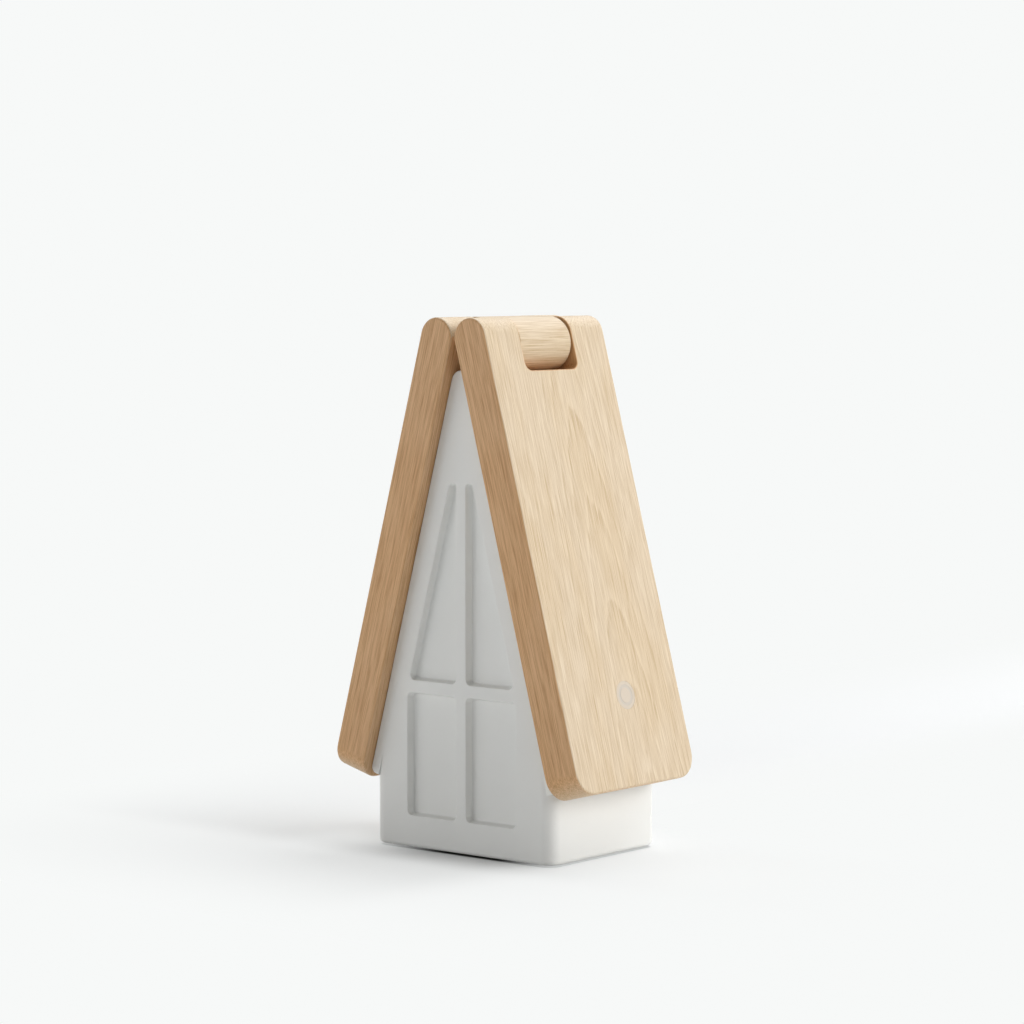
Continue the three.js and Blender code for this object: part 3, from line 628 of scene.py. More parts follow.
def combined(base, others, operation):
    """A mesh with others joined to it, cut from it or kept in common with it."""
    target = temporary(base)
    tools = [temporary(other) for other in others]
    for tool in tools:
        step = target.modifiers.new("step", "BOOLEAN")
        step.operation = operation
        step.solver = "EXACT"
        step.object = tool
    mesh = settled(target)
    for tool in tools:
        bpy.data.objects.remove(tool)
    return mesh


def cut(base, others):
    """A mesh with others cut from it."""
    return combined(base, others, "DIFFERENCE")


def eased(mesh, width, segments=EASE_STEPS, limit=SHARP_ANGLE):
    """The mesh with its sharp edges rounded."""
    thing = temporary(mesh)
    step = thing.modifiers.new("ease", "BEVEL")
    step.width = width
    step.segments = segments
    step.limit_method = "ANGLE"
    step.angle_limit = limit
    step.use_clamp_overlap = False
    return settled(thing)


def shaded(mesh):
    """The mesh with smooth rounded parts and flat faces that stay flat."""
    mesh.polygons.foreach_set("use_smooth", [True] * len(mesh.polygons))
    mesh.set_sharp_from_angle(angle=SHARP_ANGLE)
    thing = temporary(mesh)
    step = thing.modifiers.new("normals", "WEIGHTED_NORMAL")
    step.keep_sharp = True
    return settled(thing)


def paint(mesh, material):
    """Gives a mesh its one material."""
    mesh.materials.clear()
    mesh.materials.append(material)


def add_piece(node, mesh, material, body):
    """Adds a finished piece that stands for a CAD node and moves with its body."""
    name = node + "_fine"
    mesh = shaded(mesh)
    mesh.name = name
    paint(mesh, material)
    piece = new_object(name, mesh)
    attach(piece, body)
    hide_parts(node)


def dress(material, *nodes):
    """Gives CAD nodes whose shape is right their finish."""
    for node in nodes:
        paint(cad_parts[node].data, material)


# The roof's slopes


class Slopes:
    """Places on the roof's slopes, worked out from the sizes."""

    def __init__(self, roof, house):
        self.half = roof.board_thickness / 2
        self.ridge_x = (roof.board_thickness + roof.board_gap) / 2
        self.ridge_z = roof.lamp_height - self.half
        self.saddle_outer = -self.half - SEAT_GAP
        run = roof.house_width / 2 + roof.eave_overhang - self.ridge_x
        drop = self.ridge_z - roof.eave_height
        reach = math.hypot(run, drop)
        self.turn = math.atan2(run, drop) + math.asin(-self.saddle_outer / reach)
        self.sine = math.sin(self.turn)
        self.cosine = math.cos(self.turn)
        self.saddle_length = math.sqrt(reach ** 2 - self.saddle_outer ** 2)
        self.board_length = self.saddle_length + roof.board_overhang
        self.saddle_inner = self.saddle_outer - roof.saddle_thickness
        self.wall_outer = self.saddle_inner - SEAT_GAP
        self.wall_inner = self.wall_outer - house.wall
        self.front = -roof.board_depth / 2 + house.front_setback
        self.back = roof.board_depth / 2 - house.back_setback
        self.middle = (self.front + self.back) / 2
        self.notch_end = roof.notch_width / 2
        self.apex_radius = (roof.saddle_thickness - roof.saddle_apex * self.sine) / (1 - self.sine)
        self.find_barrels(roof)
        self.right = Matrix((
            (0, self.sine, self.cosine, self.ridge_x),
            (-1, 0, 0, 0),
            (0, -self.cosine, self.sine, self.ridge_z),
            (0, 0, 0, 1),
        ))
        self.left = MIRROR @ self.right

    def find_barrels(self, roof):
        """The link's barrels, as large as fits between the lamp's top, the boards' outer faces and
        the saddle's apex."""
        depth = roof.lamp_height - self.height(0, self.saddle_outer - self.apex_radius)
        reach = self.apex_radius + roof.link_gap
        slant = (1 - self.sine) / self.cosine
        start = self.ridge_x + self.half * slant
        spread = start * slant + depth + reach
        excess = slant ** 2 * (start ** 2 + depth ** 2 - reach ** 2)
        self.barrel_radius = (spread - math.sqrt(spread ** 2 - excess)) / slant ** 2
        self.barrel_x = start - slant * self.barrel_radius
        self.barrel_drop = self.barrel_radius - self.half
        swing = self.barrel_radius + math.hypot(self.ridge_x - self.barrel_x, self.barrel_drop)
        self.notch_reach = swing + roof.notch_gap

    def on_slope(self, along, out):
        """A point in x and z of the right-hand slope, down from the ridge axis and out from it."""
        return (
            self.ridge_x + along * self.sine + out * self.cosine,
            self.ridge_z - along * self.cosine + out * self.sine,
        )

    def height(self, x, out):
        """Height at which the plane a distance out from the ridge axis crosses a given x."""
        return self.ridge_z + (out - (x - self.ridge_x) * self.cosine) / self.sine

    def end_height(self, x, along):
        """Height at which the end plane a distance down the slope crosses a given x."""
        return self.ridge_z - (along - (x - self.ridge_x) * self.sine) / self.cosine


def settings(context):
    """The property groups and the slopes worked out from them."""
    scene = context.scene
    return scene.lamp_roof, scene.lamp_house, Slopes(scene.lamp_roof, scene.lamp_house)


def board_blank(roof, slopes, hinge):
    """A board drawn flat: x towards the front, y down from its ridge axis, z outwards."""
    half_depth, outer, end = roof.board_depth / 2, slopes.half + OVERRUN, slopes.board_length
    face = tongue(half_depth, -outer, end, roof.corner_radius)
    notch = tongue(slopes.notch_end, -outer - OVERRUN, slopes.notch_reach, roof.notch_radius)
    turns = [math.pi + math.pi * k / ROUND_STEPS for k in range(ROUND_STEPS + 1)]
    profile = [(slopes.half * math.cos(turn), slopes.half * math.sin(turn), 0) for turn in turns]
    profile += [(slopes.half, end + OVERRUN, 0), (-slopes.half, end + OVERRUN, 0)]
    sideways = Matrix.Rotation(-math.pi / 2, 4, "Y")
    drawn_out = moved(prism(profile, -half_depth - OVERRUN, half_depth + OVERRUN), sideways)
    blank = eased(combined(prism(face, -outer, outer), [drawn_out], "INTERSECT"), roof.edge_ease)
    blank = cut(blank, [prism(notch, -outer - OVERRUN, outer + OVERRUN)])
    blank = eased(blank, roof.notch_ease, SMALL_EASE_STEPS, NOTCH_ANGLE)
    bore = RUNNING_GAP + hinge.bush_length + SEAT_GAP
    bores = []
    for side in (-1, 1):
        cutter = rod(hinge.bush_radius + RUNNING_GAP, -bore / 2 - (OVERRUN if side < 0 else 0),
                     bore / 2 + (OVERRUN if side > 0 else 0))
        middle = Matrix.Translation((side * (slopes.notch_end + bore / 2), 0, 0))
        bores.append(moved(cutter, middle @ sideways))
    return cut(blank, bores)


def panel_corners(roof, slopes, panel, inset=0):
    """The outline of the light panel's pocket, less an inset, on a board drawn flat."""
    start = slopes.notch_reach + panel.top_margin
    end = slopes.board_length - panel.end_margin
    width = roof.board_depth - 2 * panel.side_margin
    return rectangle(width - 2 * inset, end - start - 2 * inset, panel.corner_radius - inset,
                     0, (start + end) / 2)


def panel_levels(slopes, panel):
    """How far out the pocket's floor and the diffuser's two faces lie."""
    floor = -slopes.half + panel.pocket_depth
    face = -slopes.half + panel.diffuser_recess
    return floor, face, face + panel.diffuser_thickness


def touch_place(slopes, panel):
    """The middle of the touch disc on a board drawn flat."""
    return -panel.touch_offset, slopes.board_length - panel.touch_end_margin


BOARD_SCREW_SPREAD = 34 * MM
BOARD_SCREW_SHARES = (0.3, 0.78)
BOARD_SCREW_RADIUS = 1.6 * MM
BOARD_SCREW_REACH = 9 * MM
BOARD_SCREW_HEAD = 2 * MM
TRAY_SCREW_INSET = 5.5 * MM
TRAY_SCREW_RADIUS = 1 * MM
TRAY_SCREW_REACH = 5 * MM
TOUCH_BOARD = (20 * MM, 16 * MM)
TOUCH_BOARD_THICKNESS = 0.8 * MM
DISC_GAP = 0.03 * MM
DISC_EASE = 0.08 * MM
# The heart line of the tree in each wooden piece, across and behind it, and the line's tilt
HEARTS = {"fixed_board": (-16, 34.5), "folding_board": (5.5, 24.5), "ridge_link": (-30, 21)}
BOARD_TILT = 0.055
LINK_TILT = 0.02
# Where the painted shade on the sawn faces sets in, and how much of it is left out where more light
# falls
PAINTED_SHADE_BAND = (0.15, 0.55)
LIT_BACK_BAND = (14, 30)
LIT_BACK_RELIEF = 0.45
LIT_LOWER_START = 0.85
LIT_LOWER_RELIEF = 0.65
INNER_PAINTED_SHADE = 0.8


def board_screw_places(slopes):
    """Where the screws go into the fixed board."""
    return [(side * BOARD_SCREW_SPREAD / 2, slopes.saddle_length * share)
            for share in BOARD_SCREW_SHARES for side in (-1, 1)]


def tray_screw_places(roof, slopes, panel):
    """Where the screws go through the tray into the folding board."""
    corners = panel_corners(roof, slopes, panel, TRAY_SCREW_INSET)
    return [(x, y) for x, y, _ in corners]


def painted_shade_edges(slopes, roof, side):
    """A mask of painted shade for a board's sawn edges and inner face, weaker at its back and lower
    edges, which stand in more light. side is 1 for the right-hand board."""
    corner, notch_corner = roof.corner_radius / MM, roof.notch_radius / MM
    half, edge = slopes.half / MM, roof.board_depth / 2 / MM
    end, notch_end, notch_reach = (
        value / MM for value in (slopes.board_length, slopes.notch_end, slopes.notch_reach))

    def painted_shade_mask(tree, out, across, along):
        def beyond(reach, drop, radius):
            aside = tree.larger(abs(across) - (reach - radius), 0)
            below = tree.larger(-along - (drop - radius), 0)
            return (aside * aside + below * below) ** 0.5 - radius

        inwards = tree.maths("MINIMUM", -beyond(edge, end, corner),
                             beyond(notch_end, notch_reach, notch_corner))
        # Painted shade: less on the lower end and back edge, which stand in more light, and some on
        # the inner face, which lies in shade
        lower = LIT_LOWER_RELIEF * tree.ramp(-along, end - LIT_LOWER_START * corner, end)
        back = LIT_BACK_RELIEF * tree.ramp(across, *LIT_BACK_BAND)
        painted_shade = (1 - tree.ramp(inwards, *PAINTED_SHADE_BAND)) * (1 - lower) * (1 - back)
        inner = INNER_PAINTED_SHADE * (1 - tree.ramp(out * side + half, *PAINTED_SHADE_BAND))
        return tree.larger(painted_shade, inner)

    return painted_shade_mask


class LAMP_OT_roof_boards(Operator):
    """Build the fixed and the folding roof board with their oak finish"""

    bl_idname = "lamp.roof_boards"
    bl_label = "Roof Boards"

    def execute(self, context):
        roof, _, slopes = settings(context)
        hinge, panel = context.scene.lamp_hinge, context.scene.lamp_panel
        colours = context.scene.lamp_colours
        fixed = cut(board_blank(roof, slopes, hinge), [
            rod(BOARD_SCREW_RADIUS + RUNNING_GAP, -slopes.half - OVERRUN,
                -slopes.half + BOARD_SCREW_REACH + SEAT_GAP, x, y)
            for x, y in board_screw_places(slopes)])
        floor, _, _ = panel_levels(slopes, panel)
        x, y = touch_place(slopes, panel)
        seat = slopes.half - panel.touch_thickness - SEAT_GAP
        recess = floor + TOUCH_BOARD_THICKNESS + SEAT_GAP
        screw_end = floor + TRAY_SCREW_REACH + SEAT_GAP
        folding = cut(board_blank(roof, slopes, hinge), [
            prism(panel_corners(roof, slopes, panel), -slopes.half - OVERRUN, floor),
            prism(rectangle(TOUCH_BOARD[0] + 2 * SEAT_GAP, TOUCH_BOARD[1] + 2 * SEAT_GAP, 0, x, y),
                  floor - OVERRUN, recess),
            rod(panel.touch_bore, recess - OVERRUN, slopes.half, x, y),
            rod(panel.touch_radius + DISC_GAP, seat, slopes.half + OVERRUN, x, y, ROUND_STEPS),
            *[rod(TRAY_SCREW_RADIUS + RUNNING_GAP, floor - OVERRUN, screw_end, *spot)
              for spot in tray_screw_places(roof, slopes, panel)],
        ])
        for node, mesh, matrix, side, body in (
                ("fixed_board", fixed, slopes.left, -1, "house"),
                ("folding_board", folding, slopes.right, 1, "head")):
            turn = side * slopes.turn
            home = Vector((side * slopes.ridge_x, 0, slopes.ridge_z)) / MM
            home = Matrix.Rotation(turn, 3, "Y") @ home
            material = oak("oak_" + node, colours, (0, turn, 0), -home, "Z", HEARTS[node],
                           BOARD_TILT, painted_shade_edges(slopes, roof, side))
            add_piece(node, moved(mesh, matrix), material, body)
        return {"FINISHED"}


# The ridge link, made by a rule from its two axes


def node_group(name, inputs):
    """An empty geometry node group with named inputs, and its tree and input sockets."""
    group = bpy.data.node_groups.new(name, "GeometryNodeTree")
    group.interface.new_socket("Geometry", in_out="INPUT", socket_type="NodeSocketGeometry")
    for label, kind in inputs.items():
        group.interface.new_socket(label, in_out="INPUT", socket_type="NodeSocket" + kind)
    group.interface.new_socket("Geometry", in_out="OUTPUT", socket_type="NodeSocketGeometry")
    tree = Tree(group)
    names = ("Geometry", *inputs)
    sockets = dict(zip(names, tree.node("NodeGroupInput", output=names)))
    return group, tree, sockets


def end_group(tree, geometry, material):
    """Ends a group in Realize Instances, Set Material and the output."""
    real = tree.node("GeometryNodeRealizeInstances", values={"Geometry": geometry})
    painted = tree.node("GeometryNodeSetMaterial", values={"Geometry": real, "Material": material})
    tree.node("NodeGroupOutput", values={"Geometry": painted}, output=None)


def grown(group, start, values):
    """The plain mesh that a node group makes from a start mesh and the values of its inputs."""
    thing = temporary(start)
    step = thing.modifiers.new(group.name, "NODES")
    step.node_group = group
    for item in group.interface.items_tree:
        if item.name in values:
            step[item.identifier] = values[item.name]
    return settled(thing)


def joined(tree, *parts):
    """Several geometries as one."""
    join = tree.node("GeometryNodeJoinGeometry", output=None)
    for part in reversed(parts):
        tree.owner.links.new(part.output, join.inputs[0])
    return Socket(tree, join.outputs[0])


# Painted shade on the link: how strongly the lower part of its barrels is darkened to orange, and
# where below the axis that sets in, as shares of the radius
UNDERSIDE_PAINTED_SHADE = 0.6
UNDERSIDE_SHADE_BAND = (-0.98, -0.35)
BLOCK_WIDTH = 6
BLOCK_HEIGHT = 4


def link_group():
    """Two barrels that run into each other, trimmed flat at both ends by blocks and bored right
    through on the hinge axes. The barrels are of two lengths, so that no two end faces of theirs
    share a plane where they join."""
    group, tree, given = node_group("ridge_link", {
        "Barrel Radius": "Float", "Barrel Spacing": "Float", "Barrel Drop": "Float",
        "Hole Radius": "Float", "Hole Spacing": "Float",
        "Front": "Float", "Back": "Float", "Facets": "Int", "Material": "Material"})
    span = given["Back"] - given["Front"]
    middle = (given["Back"] + given["Front"]) * 0.5

    def pair(radius, spacing, drop, *extras):
        rods = []
        for side, extra in zip((-0.5, 0.5), extras):
            rod_mesh = tree.node("GeometryNodeMeshCylinder", {"fill_type": "NGON"}, {
                "Vertices": given["Facets"], "Radius": radius, "Depth": span + extra})
            rods.append(tree.node("GeometryNodeTransform", values={
                "Geometry": rod_mesh, "Rotation": (math.pi / 2, 0, 0),
                "Translation": tree.vector(spacing * side, middle, drop * -1)}))
        return joined(tree, *rods)

    def boolean(operation, values):
        return tree.node(
            "GeometryNodeMeshBoolean", {"operation": operation, "solver": "EXACT"}, values)

    radius = given["Barrel Radius"]
    barrels = pair(radius, given["Barrel Spacing"], given["Barrel Drop"], OVERRUN, 2 * OVERRUN)
    solid = boolean("UNION", {"Mesh 2": barrels, "Self Intersection": True})
    blocks = []
    for end, side in (("Front", -1), ("Back", 1)):
        block = tree.node("GeometryNodeMeshCube", values={
            "Size": tree.vector(radius * BLOCK_WIDTH, 4 * OVERRUN, radius * BLOCK_HEIGHT)})
        blocks.append(tree.node("GeometryNodeTransform", values={
            "Geometry": block,
            "Translation": tree.vector(0, given[end] + side * 2 * OVERRUN, 0)}))
    trimmed = boolean("DIFFERENCE", {"Mesh 1": solid, "Mesh 2": joined(tree, *blocks)})
    holes = pair(given["Hole Radius"], given["Hole Spacing"], 0, OVERRUN, OVERRUN)
    bored = boolean("DIFFERENCE", {"Mesh 1": trimmed, "Mesh 2": holes})
    end_group(tree, bored, given["Material"])
    return group


class LAMP_OT_ridge_link(Operator):
    """Build the double-barrelled oak link on the ridge"""

    bl_idname = "lamp.ridge_link"
    bl_label = "Ridge Link"

    def execute(self, context):
        _, _, slopes = settings(context)
        hinge = context.scene.lamp_hinge
        band = [share * slopes.barrel_radius / MM for share in UNDERSIDE_SHADE_BAND]

        # Painted shade: darker orange towards the bottom of the barrels
        def painted_underside_shade(tree, _out, across, _along):
            return UNDERSIDE_PAINTED_SHADE * (1 - tree.ramp(across + slopes.barrel_drop / MM, *band))

        material = oak(
            "oak_link", context.scene.lamp_colours, (0, 0, 0), (0, 0, -slopes.ridge_z / MM), "Y",
            HEARTS["ridge_link"], LINK_TILT, painted_underside_shade)
        mesh = grown(link_group(), bpy.data.meshes.new("start"), {
            "Barrel Radius": slopes.barrel_radius, "Barrel Spacing": 2 * slopes.barrel_x,
            "Barrel Drop": slopes.barrel_drop, "Hole Radius": hinge.shaft_radius + RUNNING_GAP,
            "Hole Spacing": 2 * slopes.ridge_x, "Front": hinge.front_gap - slopes.notch_end,
            "Back": slopes.notch_end - hinge.washer_gap, "Facets": 2 * ROUND_STEPS,
            "Material": material})
        mesh = eased(mesh, hinge.barrel_ease, SMALL_EASE_STEPS)
        mesh = moved(mesh, Matrix.Translation((0, 0, slopes.ridge_z)))
        add_piece("ridge_link", mesh, material, "link")
        return {"FINISHED"}


# The moulded house


SCREW_CORNER_INSET = 3 * MM
BOSS_RADIUS = 3.6 * MM
BOSS_CAP = 2.4 * MM
COVER_THICKNESS = 3 * MM
COVER_SCREW_LENGTH = 11 * MM
COVER_SCREW_RADIUS = 1.2 * MM
SOCKET_HEIGHT = 20 * MM
SOCKET_SIZE = (8.94 * MM, 3.26 * MM)
SOCKET_LENGTH = 7.4 * MM
SOCKET_RECESS = 0.4 * MM
LIGHT_RADIUS = 1.2 * MM
LIGHT_SPACE = 5.3 * MM
POST_RADIUS = 2.6 * MM
POST_SPACE = 2.2 * MM
POST_HOLE_RADIUS = 1.1 * MM
POST_SCREW_REACH = 6.5 * MM
CONTROL_BOARD_THICKNESS = 1.6 * MM
JOINT_GAP = 0.02 * MM


def window_profile(house):
    """Inset and depth of a pane's wall: rounded mouth, drafted wall and rounded floor edge."""
    depth, mouth, floor = house.window_depth, house.window_mouth, house.window_floor
    slant = math.atan2(house.window_draft, depth)
    sine, cosine = math.sin(slant), math.cos(slant)
    mouth_centre = Vector((-mouth * (1 - sine) / cosine, mouth))
    floor_centre = Vector(((floor + (depth - floor) * sine) / cosine, depth - floor))
    steps = [k / WINDOW_STEPS for k in range(WINDOW_STEPS + 1)]
    profile = [Vector((mouth_centre.x, -OVERRUN))]
    for turn in [step * (math.pi / 2 - slant) for step in steps]:
        profile.append(mouth_centre + mouth * Vector((math.sin(turn), -math.cos(turn))))
    for turn in [slant + step * (math.pi / 2 - slant) for step in steps]:
        profile.append(floor_centre + floor * Vector((-math.cos(turn), math.sin(turn))))
    return profile


def window_cutter(corners, house, slopes):
    """What a sunk pane takes out of the front."""
    return stacked([
        [(p.x, slopes.front + depth, p.y) for p in rounded(corners, inset)]
        for inset, depth in window_profile(house)])


def window_cutters(house, slopes):
    """The four panes' cutters."""
    inner, outer = house.window_bar / 2, house.window_span / 2
    sill = house.bar_height + house.window_bar
    slope = slopes.saddle_outer - house.roof_margin
    corner = slopes.ridge_x + (slope - (sill - slopes.ridge_z) * slopes.sine) / slopes.cosine
    radius = house.window_radius
    lower = [(inner, house.sill_height, radius), (outer, house.sill_height, radius),
             (outer, house.bar_height, radius), (inner, house.bar_height, radius)]
    upper = [(inner, sill, radius), (corner, sill, radius),
             (inner, slopes.height(inner, slope), house.window_top_radius)]
    cutters = []
    for corners in (lower, upper):
        cutters.append(window_cutter(corners, house, slopes))
        cutters.append(moved(window_cutter(corners, house, slopes), MIRROR))
    return cutters


def house_mesh(roof, house, slopes):
    """The hollow house with its bosses, windows and socket opening."""
    half = roof.house_width / 2
    ledge, top = slopes.saddle_length + JOINT_GAP, slopes.saddle_inner - JOINT_GAP
    walls = both_halves([
        (half, -OVERRUN, 0),
        (half, slopes.end_height(half, ledge), 0),
        (*slopes.on_slope(ledge, top), 0),
        (0, slopes.height(0, top), 0),
    ])
    plan = rectangle(roof.house_width, slopes.back - slopes.front, house.corner_radius,
                     0, slopes.middle)
    tower = eased(prism(plan, house.floor_gap, roof.lamp_height, house.bottom_ease, BOTTOM_STEPS,
                        HOUSE_CORNER_STEPS), house.edge_ease)
    outside = combined(
        tower, [gable(walls, slopes.front - OVERRUN, slopes.back + OVERRUN)], "INTERSECT")
    inner_half = half - house.wall
    hollow_front, hollow_back = slopes.front + house.front_wall, slopes.back - house.wall
    hollow = both_halves([
        (inner_half, house.floor_gap - OVERRUN, 0),
        (inner_half, slopes.height(inner_half, slopes.wall_inner), 0),
        (0, slopes.height(0, slopes.wall_inner), 0),
    ])
    hollow_plan = rectangle(2 * inner_half, hollow_back - hollow_front,
                            house.corner_radius - house.wall, 0, (hollow_front + hollow_back) / 2)
    inside = combined(
        gable(hollow, hollow_front, hollow_back),
        [prism(hollow_plan, house.floor_gap - 2 * OVERRUN, roof.lamp_height)], "INTERSECT")
    shell = cut(outside, [inside])
    cover_bottom = house.foot_thickness + SEAT_GAP
    boss_bottom = cover_bottom + COVER_THICKNESS + SEAT_GAP
    hole_top = cover_bottom + RUNNING_GAP + COVER_SCREW_LENGTH + SEAT_GAP
    spots = [(x, y) for x in (SCREW_CORNER_INSET - inner_half, inner_half - SCREW_CORNER_INSET)
             for y in (hollow_front + SCREW_CORNER_INSET, hollow_back - SCREW_CORNER_INSET)]
    board_back = slopes.back - SOCKET_RECESS - SOCKET_LENGTH - SEAT_GAP
    light_x = SOCKET_SIZE[0] / 2 + LIGHT_SPACE + LIGHT_RADIUS
    post_x = light_x + LIGHT_RADIUS + POST_SPACE + POST_RADIUS
    posts = [(-post_x, SOCKET_HEIGHT), (post_x, SOCKET_HEIGHT)]
    shell = combined(shell, [
        *[rod(BOSS_RADIUS, boss_bottom, hole_top + BOSS_CAP, *spot) for spot in spots],
        *[deep_rod(POST_RADIUS, board_back + SEAT_GAP, hollow_back + house.wall / 2, *post)
          for post in posts],
    ], "UNION")
    slot = rectangle(SOCKET_SIZE[0] + 2 * SEAT_GAP, SOCKET_SIZE[1] + 2 * SEAT_GAP,
                     SOCKET_SIZE[1] / 2, 0, SOCKET_HEIGHT)
    post_hole_end = board_back - CONTROL_BOARD_THICKNESS + POST_SCREW_REACH
    return cut(shell, [
        *window_cutters(house, slopes),
        *[rod(COVER_SCREW_RADIUS + RUNNING_GAP, boss_bottom - OVERRUN, hole_top, *spot)
          for spot in spots],
        *[deep_rod(POST_HOLE_RADIUS, board_back, post_hole_end, *post) for post in posts],
        gable(slot, hollow_back - OVERRUN, slopes.back + OVERRUN),
        deep_rod(LIGHT_RADIUS + SEAT_GAP, hollow_back - OVERRUN, slopes.back + OVERRUN,
                 light_x, SOCKET_HEIGHT),
    ])


def white_moulding(name, context, roughness):
    """The white plastic of the house and the saddle."""
    return moulded(name, context.scene.lamp_colours.house_white, roughness, 2.2, 0.012 * MM)


class LAMP_OT_house(Operator):
    """Build the moulded house shell with its sunk windows"""

    bl_idname = "lamp.house"
    bl_label = "House Shell"

    def execute(self, context):
        roof, house, slopes = settings(context)
        mesh = house_mesh(roof, house, slopes)
        white = white_moulding("house_white", context, 0.52)
        add_piece("house_shell", mesh, white, "house")
        return {"FINISHED"}


class LAMP_OT_saddle(Operator):
    """Build the white saddle between the house and the boards"""

    bl_idname = "lamp.saddle"
    bl_label = "Roof Saddle"

    def execute(self, context):
        roof, _, slopes = settings(context)
        gables = both_halves([
            (*slopes.on_slope(slopes.saddle_length, slopes.saddle_inner - OVERRUN), 0),
            (*slopes.on_slope(slopes.saddle_length, slopes.saddle_outer), roof.saddle_end_radius),
            (0, slopes.height(0, slopes.saddle_outer), slopes.apex_radius),
        ])
        inside = both_halves([
            (*slopes.on_slope(slopes.saddle_length + OVERRUN, slopes.saddle_inner), 0),
            (0, slopes.height(0, slopes.saddle_inner), 0),
        ])
        start = slopes.saddle_inner - OVERRUN
        holes = [
            rod(radius + RUNNING_GAP, start, end, *spot) for spot in board_screw_places(slopes)
            for radius, end in (
                (BOARD_SCREW_RADIUS, slopes.saddle_outer + OVERRUN),
                (2 * BOARD_SCREW_RADIUS, slopes.saddle_inner + BOARD_SCREW_HEAD + SEAT_GAP))]
        mesh = cut(gable(gables, slopes.front, slopes.back, roof.saddle_ease), [
            gable(inside, slopes.front - OVERRUN, slopes.back + OVERRUN),
            *[moved(hole, slopes.left) for hole in holes]])
        white = white_moulding("saddle_white", context, 0.50)
        add_piece("roof_saddle", mesh, white, "house")
        return {"FINISHED"}


class LAMP_OT_foot(Operator):
    """Build the rubber foot and dress the base above it"""

    bl_idname = "lamp.foot"
    bl_label = "Foot and Base"

    def execute(self, context):
        roof, house, slopes = settings(context)
        plan = rectangle(roof.house_width - 2 * house.foot_inset,
                         slopes.back - slopes.front - 2 * house.foot_inset,
                         house.foot_radius, 0, slopes.middle)
        mesh = prism(plan, 0, house.foot_thickness, house.foot_ease)
        black = context.scene.lamp_colours.rubber
        rubber = moulded("foot_rubber", black, 0.82, 1.4, 0.02 * MM, 0.06)
        add_piece("rubber_foot", mesh, rubber, "house")
        dress(moulded("grey_moulding", (0.27, 0.275, 0.275), 0.55, 1.8, 0.015 * MM, 0.03),
              "base_cover", "battery_cradle")
        return {"FINISHED"}


# Light panel and touch switch


class LAMP_OT_light_panel(Operator):
    """Build the opal diffuser and dress the tray behind it"""

    bl_idname = "lamp.light_panel"
    bl_label = "Light Panel"

    def execute(self, context):
        roof, _, slopes = settings(context)
        panel, colours = context.scene.lamp_panel, context.scene.lamp_colours
        _, face, back = panel_levels(slopes, panel)
        corners = panel_corners(roof, slopes, panel, SEAT_GAP)
        mesh = moved(prism(corners, face, back, panel.diffuser_ease), slopes.right)
        add_piece("light_diffuser", mesh, opal("diffuser_opal", colours.opal, 0.34, 1.2), "head")
        dress(turned_metal("tray_aluminium", (0.66, 0.67, 0.68), 0.38, (1, 1, 0.05)), "led_tray")
        dress(circuit("led_board_white", (0.82, 0.82, 0.80), (0.70, 0.70, 0.69)), "led_board")
        return {"FINISHED"}


class LAMP_OT_touch_switch(Operator):
    """Build the frosted touch disc with its sunk ring"""

    bl_idname = "lamp.touch_switch"
    bl_label = "Touch Switch"

    def execute(self, context):
        _, _, slopes = settings(context)
        panel, colours = context.scene.lamp_panel, context.scene.lamp_colours
        x, y = touch_place(slopes, panel)
        top, radius, ring = slopes.half, panel.touch_radius, panel.ring_radius
        half_ring, deep = panel.ring_width / 2, panel.ring_depth
        bevel = 0.3 * DISC_EASE
        profile = [
            (radius, top - panel.touch_thickness), (radius, top - DISC_EASE),
            (radius - bevel, top - bevel), (radius - DISC_EASE, top),
            (ring + half_ring + deep, top), (ring + half_ring, top - deep),
            (ring - half_ring, top - deep), (ring - half_ring - deep, top),
        ]
        mesh = moved(turned(profile), slopes.right @ Matrix.Translation((x, y, 0)))
        middle = slopes.right @ Vector((x, y, top))
        frosted = opal("disc_frosted", colours.disc, 0.5, 2.5,
                       (colours.disc_ring, middle, ring, panel.ring_width))
        add_piece("touch_disc", mesh, frosted, "head")
        dress(circuit("board_green", (0.014, 0.10, 0.045), (0.03, 0.17, 0.075)),
              "touch_board", "control_board")
        return {"FINISHED"}


class LAMP_OT_fittings(Operator):
    """Dress the shafts, bushes, washers, screws, cells, ballast and charging fittings"""

    bl_idname = "lamp.fittings"
    bl_label = "Fittings"

    def execute(self, context):
        colours = context.scene.lamp_colours
        steel = turned_metal("steel_satin", (0.46, 0.47, 0.48), 0.34)
        dress(steel, "left_hinge_shaft", "right_hinge_shaft", "ballast_plate", "charge_socket",
              "control_board_screw_1", "control_board_screw_2",
              *[f"{kind}_screw_{i}" for kind in ("cover", "board", "tray") for i in range(1, 5)])
        dress(turned_metal("brass_turned", (0.58, 0.38, 0.10), 0.32),
              *[f"{side}_{end}_bush" for side in ("left", "right") for end in ("front", "back")])
        dress(moulded("acetal_dark", (0.042, 0.036, 0.033), 0.45, 1.6, 0.01 * MM, 0.05),
              "left_washer", "right_washer")
        dress(moulded("cell_wrap", (0.045, 0.155, 0.39), 0.36, 0.8, 0.01 * MM, 0.04),
              "battery_cell_1", "battery_cell_2")
        dress(opal("charge_light_opal", colours.opal, 0.3, 1.2), "charge_light")
        return {"FINISHED"}


# The stage


FLOOR_REACH = 4
FLOOR_DROP = 0.02 * MM
LAMP_MIDDLE = Vector((0, 0, 0.1))
SENSOR_WIDTH = 36
